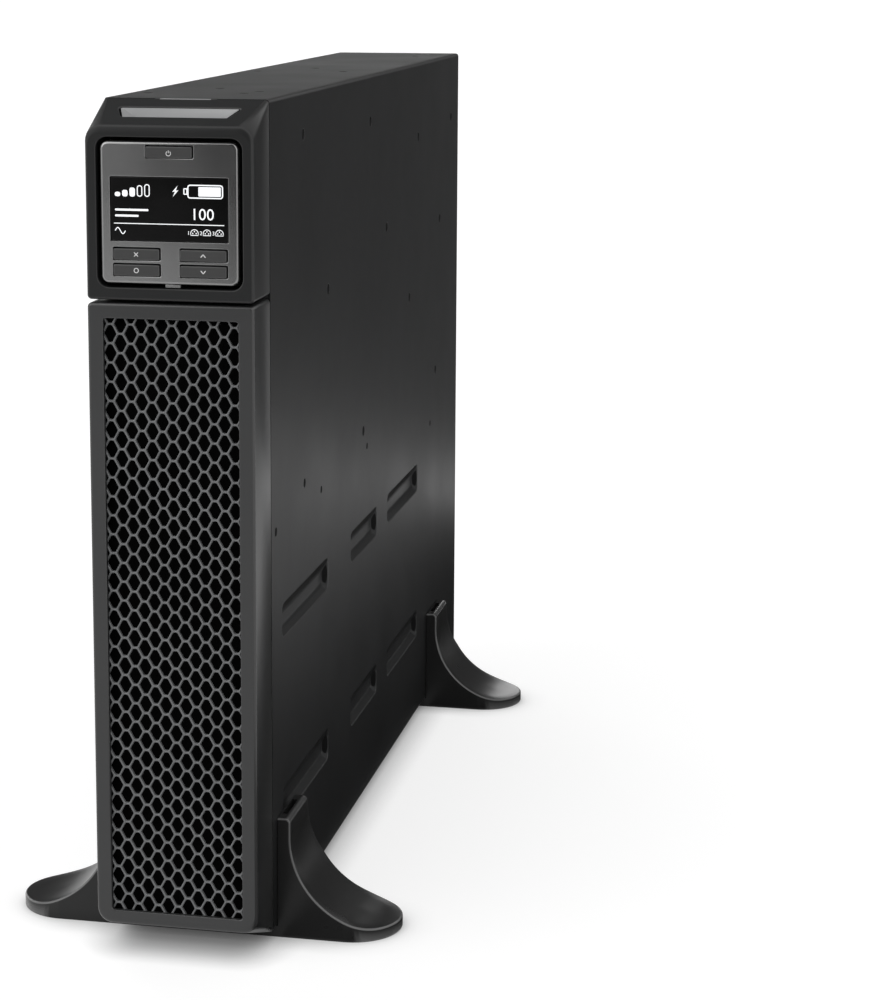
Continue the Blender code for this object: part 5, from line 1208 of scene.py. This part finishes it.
def makeOutletPlate():
    back, face = depthsOf("outlet_plate")
    level, under = face + outletLook["labelHeight"], face + outletLook["labelBack"]
    opening, wide = rearSpan(*outletLook["smallOpening"], 1.0), rearSpan(*outletLook["largeOpening"], 3.0)
    outline = rearPolygon(outletLook["plate"])
    plate = solidPatches(outline, face, back, [opening, wide], edge=0.35, holeEdge=0.1)
    makePiece("outlet_plate_sheet", "plate_paint", plate, "outlet_plate")
    # dark label: a strip above, borders, the field behind the small outlets and a patch at the bottom
    outline, light = rearPolygon(outletLook["label"]), rearSpan(*outletLook["lightField"], 0.5)
    label = solidPatches(outline, level, under, [light, opening], edge=0.05, holeEdge=0.05)
    label += solidPatches(rearSpan(*outletLook["darkPatch"], 0.8), level, under, edge=0.05)
    # ground sign beside the ground screw
    z, width = floorToCase + 5.8, outletLook["lineWidth"]
    for x, long in ((6.2, 3.6), (7.1, 2.4), (8.0, 1.2)):
        label += strokePatches([(x, z - long / 2), (x, z + long / 2)], width, face + 0.05, under)
    label += strokePatches([(5.0, z), (6.3, z)], width, face + 0.04, under)
    makePiece("outlet_label", "label_film", label)
    rules = [(x, 33.4, 35.4, 0.9, 0.1, 0.05, -0.05, 0.02) for x in outletLook["bankX"].values()]
    ink = rearBlocks(0, 0, level, rules)
    ink += joined(digitPatches(text, tall, rearBase + (x, z), level + 0.02, 0.06, True)
                  for text, x, z, tall in outletLook["numbers"])
    makePiece("outlet_print", "print_ink", ink)


def makeOutlets():
    z, size = outletLook["largeZ"], outletLook["largeSlot"]
    outline = rearSpan(*outletLook["largeBlock"], 5.5)
    rings = [rearRect(x, z, *outletLook["largeRing"], 5.0, 6) for x in outletLook["largeX"]]
    cores = [rearRect(x, z, *outletLook["largeCore"], 3.3, 6) for x in outletLook["largeX"]]
    slots = [[rearRect(x + side * dx, z + dz, *size, 0.15) for dx, dz in outletLook["largeSlots"]]
             for x, side in outletLook["largeX"].items()]
    blockPieces("large_outlets", "large_outlet_block", outline, rings, cores, slots)
    (z0, z1), size = outletLook["bankZ"], outletLook["socketSlot"]
    for node, x in outletLook["bankX"].items():
        outline = rearRect(x, (z0 + z1) / 2, outletLook["bankWidth"], z1 - z0, 1.2)
        rings = [socketOutline(x, z, *outletLook["socketRing"], 1.8) for z in outletLook["socketZ"]]
        cores = [socketOutline(x, z, *outletLook["socketCore"], 2.2) for z in outletLook["socketZ"]]
        slots = [[rearRect(x + dx, z + dz, *size, 0.12) for dx, dz in outletLook["socketSlots"]]
                 for z in outletLook["socketZ"]]
        blockPieces(node, node, outline, rings, cores, slots)
    print("outlets done")


makeOutletPlate()
makeOutlets()


# Inlet, battery connector, jacks and terminal

inletLook = {"flange": (28.8, 36.3), "flangeHeight": 2.05, "body": (26.4, 33.6), "cavity": (23.1, 29.9),
             "depth": 18.0, "blades": ((4.1, 6.6), (4.1, -6.7), (-3.8, -0.1)), "blade": (2.4, 5.7)}
connectorLook = {"body": (46.6, 15.2), "powerX": (16.1, -14.9), "powerZ": -2.7, "powerHole": (12.9, 5.6),
                 "powerDepth": 12.0, "blockBack": -2.5, "signalX": (5.2, -3.8), "signalZ": -3.2,
                 "signalHole": 2.5, "signalDepth": 10.0, "pin": 0.55, "ringZ": 2.3, "ringHole": 1.8,
                 "ring": 2.6}
portLook = {"depth": 11.0, "usbDepth": 9.0, "usbWall": 1.3, "corner": 0.2, "contacts": 8,
            "contactPitch": 1.02, "lightX": (-5.6, 5.6),
            # right half of each stepped mouth, from the bottom up
            "network": ((6.1, -4.0), (6.1, 2.6), (3.5, 2.6), (3.5, 5.8)),
            "serial": ((6.0, -4.4), (6.0, 1.6), (4.0, 1.6), (4.0, 3.3), (2.0, 3.3), (2.0, 5.0))}
terminalLook = {"cells": 4, "pitch": 3.9, "cell": (5.6, 3.1), "depth": 3.2, "pin": 0.42}


def makeInlet():
    x, z = rearLook["inlet"]
    back, face = depthsOf("power_inlet")
    joint, depth = face - inletLook["flangeHeight"], inletLook["depth"]
    cavity = rearRect(x, z, *inletLook["cavity"], 4.0, 6)
    flange, body = rearRect(x, z, *inletLook["flange"], 0.8), rearRect(x, z, *inletLook["body"], 1.0)
    patches = solidPatches(flange, face, joint, [cavity], edge=0.5, holeEdge=1.2)
    patches += solidPatches(body, joint, back, (), [(cavity, joint - face + depth)], edge=0.05, holeEdge=0.01)
    makePiece("inlet_shell", "outlet_plastic", patches, "power_inlet")
    rows = [(dx, dz, *inletLook["blade"], 0.4, -2.0, -depth - 0.5, 0.6) for dx, dz in inletLook["blades"]]
    blades = rearBlocks(x, z, face, rows)
    makePiece("inlet_blades", "jack_steel", blades, "inlet_blade_insert")


def makeConnector():
    x, z, _, _ = rearLook["cabinet"]
    back, face = depthsOf("battery_connector")
    powerX, powerZ, rear = connectorLook["powerX"], connectorLook["powerZ"], connectorLook["blockBack"]

    def pair(height):
        return [(x + dx, floorToCase + z + connectorLook[height]) for dx in connectorLook["signalX"]]

    def bores(height, radius):
        return [circle(centre, connectorLook[radius], 24) for centre in pair(height)]
    rings = bores("ringZ", "ringHole")
    holes = [rearRect(x + dx, z + powerZ, *connectorLook["powerHole"], 0.5) for dx in powerX]
    pockets = [(hole, connectorLook["powerDepth"]) for hole in holes]
    pockets += [(bore, connectorLook["signalDepth"]) for bore in bores("signalZ", "signalHole") + rings]
    body = rearRect(x, z, *connectorLook["body"], 2.0, 6)
    patches = solidPatches(body, face - 1.5, back, pockets=pockets, edge=0.8)
    makePiece("connector_body", "connector_green", patches, "battery_connector")
    rows = [(0.7, 1.2, 5.2, 0.8, 0.2, -0.5, rear, 0.15), (0.7, -4.6, 3.4, 3.6, 0.3, -0.6, rear, 0.2)]
    for dx in powerX:
        rows += [(dx, 2.6, 12.0, 3.4, 0.3, 0.0, rear, 0.3), (dx, 5.0, 2.4, 2.2, 0.2, -0.3, rear, 0.2),
                 (dx, -6.3, 12.6, 0.9, 0.2, -1.0, rear, 0.2)]
    blocks = rearBlocks(x, z, face, rows)
    blocks += joined(solidPatches(rim, face - 0.2, face + rear, [ring], edge=0.3)
                     for rim, ring in zip(bores("ringZ", "ring"), rings))
    makePiece("connector_blocks", "connector_bright", blocks)
    pins = joined(rodPatches(centre, connectorLook["pin"], face - 3.0, face - 11.0, count=12)
                  for centre in pair("signalZ"))
    makePiece("connector_pins", "zinc_plate", pins)
    # near-black fills in the power holes: painted shade
    wells = rearBlocks(x, z, face, [(dx, powerZ, 12.8, 5.5, 0.4, -5.0, -13.0, 0.2) for dx in powerX])
    makePiece("connector_well_shade", "cavity_shade", wells)


def portPieces(name, node, finish, mouth, corner=0.5, depth=portLook["depth"]):
    # a shell with a mouth in it and a near-black liner that closes the mouth: painted shade inside
    back, face = depthsOf(node)
    outline = rearRect(*rearLook[name], corner)
    shell = solidPatches(outline, face, back, pockets=[(mouth, depth)], edge=0.25, holeEdge=0.1)
    makePiece(name + "_shell", finish, shell, node)
    liner = solidPatches(offsetLoop(mouth, -0.02), face - 0.5, face - depth - 0.2,
                         pockets=[(offsetLoop(mouth, -0.4), depth - 1.0)], edge=0.05, holeEdge=0.05)
    makePiece(name + "_shade_liner", "cavity_shade", liner)
    return face


def steppedMouth(name):
    x, z, _, _ = rearLook[name]
    half = np.array(portLook[name])
    corners = np.concatenate([half[:1] * (-1, 1), half, (half * (-1, 1))[:0:-1]])
    return filletedPolygon(corners + (x, floorToCase + z), portLook["corner"], 2)


def makePorts():
    x, z, _, _ = rearLook["network"]
    face = portPieces("network", "network_jack", "jack_steel", steppedMouth("network"))
    lights = [(dx, 4.4, 3.6, 3.2, 0.3, 0.15, -3.0, 0.2) for dx in portLook["lightX"]]
    makePiece("network_lights", "jack_insert", rearBlocks(x, z, face, lights))
    places = (np.arange(portLook["contacts"]) - (portLook["contacts"] - 1) / 2) * portLook["contactPitch"]
    contacts = [(dx, -2.9, 0.5, 1.7, 0.1, -1.6, -9.0, 0.1) for dx in places]
    makePiece("network_contacts", "contact_gold", rearBlocks(x, z, face, contacts))
    portPieces("serial", "serial_jack", "outlet_plastic", steppedMouth("serial"))
    x, z, width, height = rearLook["usb"]
    wall, depth = portLook["usbWall"], portLook["usbDepth"]
    mouth = rearRect(x, z, width - wall, height - wall, 0.9)
    face = portPieces("usb", "usb_port", "jack_steel", mouth, 0.7, depth)
    tongue = rearBlocks(x, z, face, [(-1.0, 0, 1.7, 10.4, 0.2, -0.6, -depth, 0.2)])
    makePiece("usb_tongue", "jack_insert", tongue)


def makeTerminal():
    x, z, width, height = rearLook["terminal"]
    back, face = depthsOf("terminal_block")
    rises = ((terminalLook["cells"] - 1) / 2 - np.arange(terminalLook["cells"])) * terminalLook["pitch"]
    cells = [rearRect(x, z + rise, *terminalLook["cell"]) for rise in rises]
    pockets = [(cell, terminalLook["depth"]) for cell in cells]
    patches = solidPatches(rearRect(x, z, width, height, 0.4), face, back, pockets=pockets)
    makePiece("terminal_frame", "terminal_blue", patches, "terminal_block")
    # darker blue fills in the cells: painted shade
    wells = joined(solidPatches(offsetLoop(cell, -0.02), face - 1.0, face - 3.4, edge=0.1) for cell in cells)
    makePiece("terminal_well_shade", "terminal_blue_shade", wells)
    places = [(x, floorToCase + z + rise) for rise in rises]
    pins = joined(rodPatches(place, terminalLook["pin"], face - 0.4, face - 2.0, edge=0.2, count=12)
                  for place in places)
    makePiece("terminal_pins", "zinc_plate", pins)


makeInlet()
makeConnector()
makePorts()
makeTerminal()
print("rear fittings done")


# Screws: flanged pan heads with a six-lobe or cross recess

screwLook = {"rim": 0.84, "lobe": (0.41, 0.085), "cross": (0.46, 0.13), "recess": 1.25, "around": 48,
             "height": {"panel": 2.2, "outlet": 2.2, "ground": 2.3}, "plainHeight": 2.0, "starShare": 0.96}


def recessEdge(turn, radius, lobed):
    # the recess's edge as a radius of the angle: wavy with six lobes, or a cross
    if lobed:
        return radius * (screwLook["lobe"][0] + screwLook["lobe"][1] * np.cos(6 * turn))
    long, wide = (radius * share for share in screwLook["cross"])
    c, s = np.abs(np.cos(turn)), np.abs(np.sin(turn))
    return np.minimum(long / np.maximum(c, s), wide / np.maximum(np.minimum(c, s), 1e-6))


def screwPatches(centre, seat, radius, height, turn, edge):
    # rings from the recess's floor over its edge and the dome to the rim
    rim, floor = screwLook["rim"] * radius, height - screwLook["recess"]

    def dome(r):
        return height * (0.52 + 0.48 * np.sqrt(np.maximum(1 - (r / rim) ** 2 * 0.97, 0)))
    rings = [(0, floor - 0.15), (edge * 0.9, floor), (edge, floor + 0.1), (edge, dome(edge) - 0.12),
             (edge * 1.07, dome(edge * 1.07))]
    rings += [(radius * share, dome(radius * share)) for share in (0.62, 0.72, 0.79, 0.83)]
    rings += [(radius * share, height * tall) for share, tall in (
        (0.845, 0.42), (0.95, 0.38), (0.99, 0.33), (1.0, 0.25), (1.0, 0.0), (0.0, 0.0))]
    r, y = (np.stack([np.broadcast_to(ring[part], turn.shape) for ring in rings]) for part in (0, 1))
    points = np.stack([centre[0] + r * np.cos(turn), seat + y, centre[1] + r * np.sin(turn)], -1)
    return [gridPatch(points, True)]


def makeScrews():
    names = [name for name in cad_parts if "screw" in name]
    turn = np.arange(screwLook["around"]) * 2 * math.pi / screwLook["around"]
    stars = []
    for name in names:
        low, high = frontBox(name)
        top, radius, centre = depthsOf(name)[1], (high[0] - low[0]) / 2, (low + high) / 2
        lobed = name.startswith(("panel_screw", "outlet_plate_screw"))
        height = screwLook["height"].get(name.split("_")[0], screwLook["plainHeight"])
        edge = recessEdge(turn, radius, lobed)
        patches = screwPatches(centre, top - height, radius, height, turn, edge)
        makePiece(name + "_head", "zinc_plate", patches, name, crease=35)
        # darker plates on the recess floors: painted shade
        floor = top - screwLook["recess"]
        star = centre + screwLook["starShare"] * edge[:, None] * direction(turn)
        stars += solidPatches(star, floor + 0.6, floor - 0.1, edge=0.02)
    makePiece("screw_recess_shade", "recess_shade_steel", stars)
    print("screws done:", len(names))


makeScrews()


# Inner pieces keep their modelled shapes and get finishes of their own

innerLook = {
    # the front frame takes the darker recess steel: painted shade inside the case
    "front_frame": "recess_shade_steel", "battery_tray": "bare_steel", "battery_pack_front": "battery_case",
    "battery_pack_rear": "battery_case", "power_board": "circuit_board", "heat_sink": "sink_alloy",
    "choke": "copper_wire", "capacitor_bank": "capacitor_sleeve", "fan_frame_upper": "fan_plastic",
    "fan_frame_lower": "fan_plastic", "fan_rotor_upper": "fan_plastic", "fan_rotor_lower": "fan_plastic",
}
for node, finish in innerLook.items():
    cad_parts[node].data.materials.clear()
    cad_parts[node].data.materials.append(finishes[finish])
print("inner pieces done:", len(innerLook))


# Camera, lights and stage, in metres

viewLook = {"place": (0.35105, -1.50300, 0.51463), "azimuth": 0.21537, "elevation": 0.17523, "lens": 93.23,
            "sensor": 36, "shift": (0.1, -0.1)}
lampLook = {  # direction the light comes from, strength, softness in degrees
    "key": ((-0.9, -1.2, 0.9), 1.25, 60),
    "fill": ((0.9, -0.9, 0.9), 0.5, 70),
    "rear": ((-0.7, 1.4, 0.6), 1.35, 50),
}
flagLook = {  # cards that only gloss sees, for dark and grey reflections: low corner, high corner, level
    "rearFlag": ((0.09, 1.0, 0.0), (1.40, 1.0, 0.70), 0.06),
    "highFlag": ((-1.80, 1.4, 0.52), (0.40, 1.4, 3.2), 0.04),
    "frontFlag": ((-0.56, -1.75, 0.215), (0.60, -1.75, 2.60), 0.0),
    "displayFlag": ((-0.43, -1.75, 0.13), (0.60, -1.75, 0.215), 0.0),
    "floorFlag": ((0.045, -0.60, 0.001), (0.30, 0.80, 0.001), 0.0),
    "leftFlag": ((-1.20, 1.0, 0.0), (-0.09, 1.0, 0.45), 0.10),
}
stageLook = {"worldFill": 0.45, "worldSeen": 1.0, "floor": 0.40, "floorGlow": 0.73, "floorReach": 30.0,
             "contact": 0.020}  # how far the darker shade along the foot of the object goes


def aim(holder, back):
    holder.rotation_euler = (-Vector(back)).to_track_quat("-Z", "Y").to_euler()
    bpy.context.scene.collection.objects.link(holder)


def makeCamera():
    camera = bpy.data.objects.new("camera", bpy.data.cameras.new("camera"))
    azimuth, elevation = viewLook["azimuth"], viewLook["elevation"]
    flat = math.cos(elevation)
    camera.location = viewLook["place"]
    aim(camera, (math.sin(azimuth) * flat, -math.cos(azimuth) * flat, math.sin(elevation)))
    camera.data.lens, camera.data.sensor_width = viewLook["lens"], viewLook["sensor"]
    camera.data.shift_x, camera.data.shift_y = viewLook["shift"]
    bpy.context.scene.camera = camera


def makeLamps():
    for name, (source, strength, softness) in lampLook.items():
        lamp = bpy.data.lights.new(name, "SUN")
        lamp.energy, lamp.angle = strength, math.radians(softness)
        holder = bpy.data.objects.new(name, lamp)
        holder.location = source
        aim(holder, source)


def stageSheet(name, material, low, high, hidden=()):
    # a rectangle between two corners that the named kinds of rays don't meet
    (x0, y0, z0), (x1, y1, z1) = low, high
    mesh = bpy.data.meshes.new(name)
    mesh.from_pydata([(x0, y0, z0), (x1, y0, z0), (x1, y1, z1), (x0, y1, z1)], [], [(0, 1, 2, 3)])
    mesh.materials.append(material)
    sheet = bpy.data.objects.new(name, mesh)
    bpy.context.scene.collection.objects.link(sheet)
    for rays in hidden:
        setattr(sheet, "visible_" + rays, False)


def makeFlags():
    for name, (low, high, level) in flagLook.items():
        material, tree, shader = newMaterial(name)
        fill(tree, shader, {"Base Color": shade(0.01), "Specular IOR Level": 0.0,
                            "Emission Color": shade(1.0), "Emission Strength": level})
        stageSheet(name, material, low, high, ("camera", "shadow", "diffuse"))


def seenDirectly(tree):
    # 1 for rays from the camera and for those that see by gloss or through glass
    path = wire(tree, "LightPath", {})
    seen = path["Is Camera Ray"]
    for ray in ("Is Glossy Ray", "Is Transmission Ray"):
        seen = reckon(tree, "MAXIMUM", seen, path[ray])
    return seen


def makeWorld():
    # white where it is seen directly, in gloss or through glass; a plain fill elsewhere
    world = bpy.data.worlds.new("studio")
    bpy.context.scene.world = world
    world.use_nodes = True
    tree = world.node_tree
    strength = between(tree, seenDirectly(tree), stageLook["worldFill"], stageLook["worldSeen"])
    fill(tree, tree.nodes["Background"], {"Color": shade(1.0), "Strength": strength})


def makeFloor():
    # a wide pale floor; a little of its own light keeps it white to the camera and leaves the shadow
    material, tree, shader = newMaterial("studio_floor")
    glow = reckon(tree, "MULTIPLY", seenDirectly(tree), stageLook["floorGlow"])
    near = wire(tree, "AmbientOcclusion", {"Distance": stageLook["contact"]})["AO"]
    strength = reckon(tree, "MULTIPLY", glow, near)
    fill(tree, shader, {"Base Color": shade(stageLook["floor"]), "Roughness": 0.9, "Specular IOR Level": 0.0,
                        "Emission Color": shade(1.0), "Emission Strength": strength})
    reach = stageLook["floorReach"]
    stageSheet("floor", material, (-reach, -reach, 0), (reach, reach, 0))


makeCamera()
makeLamps()
makeFlags()
makeWorld()
makeFloor()
bpy.context.scene.view_settings.view_transform = "Standard"
print("stage ready")
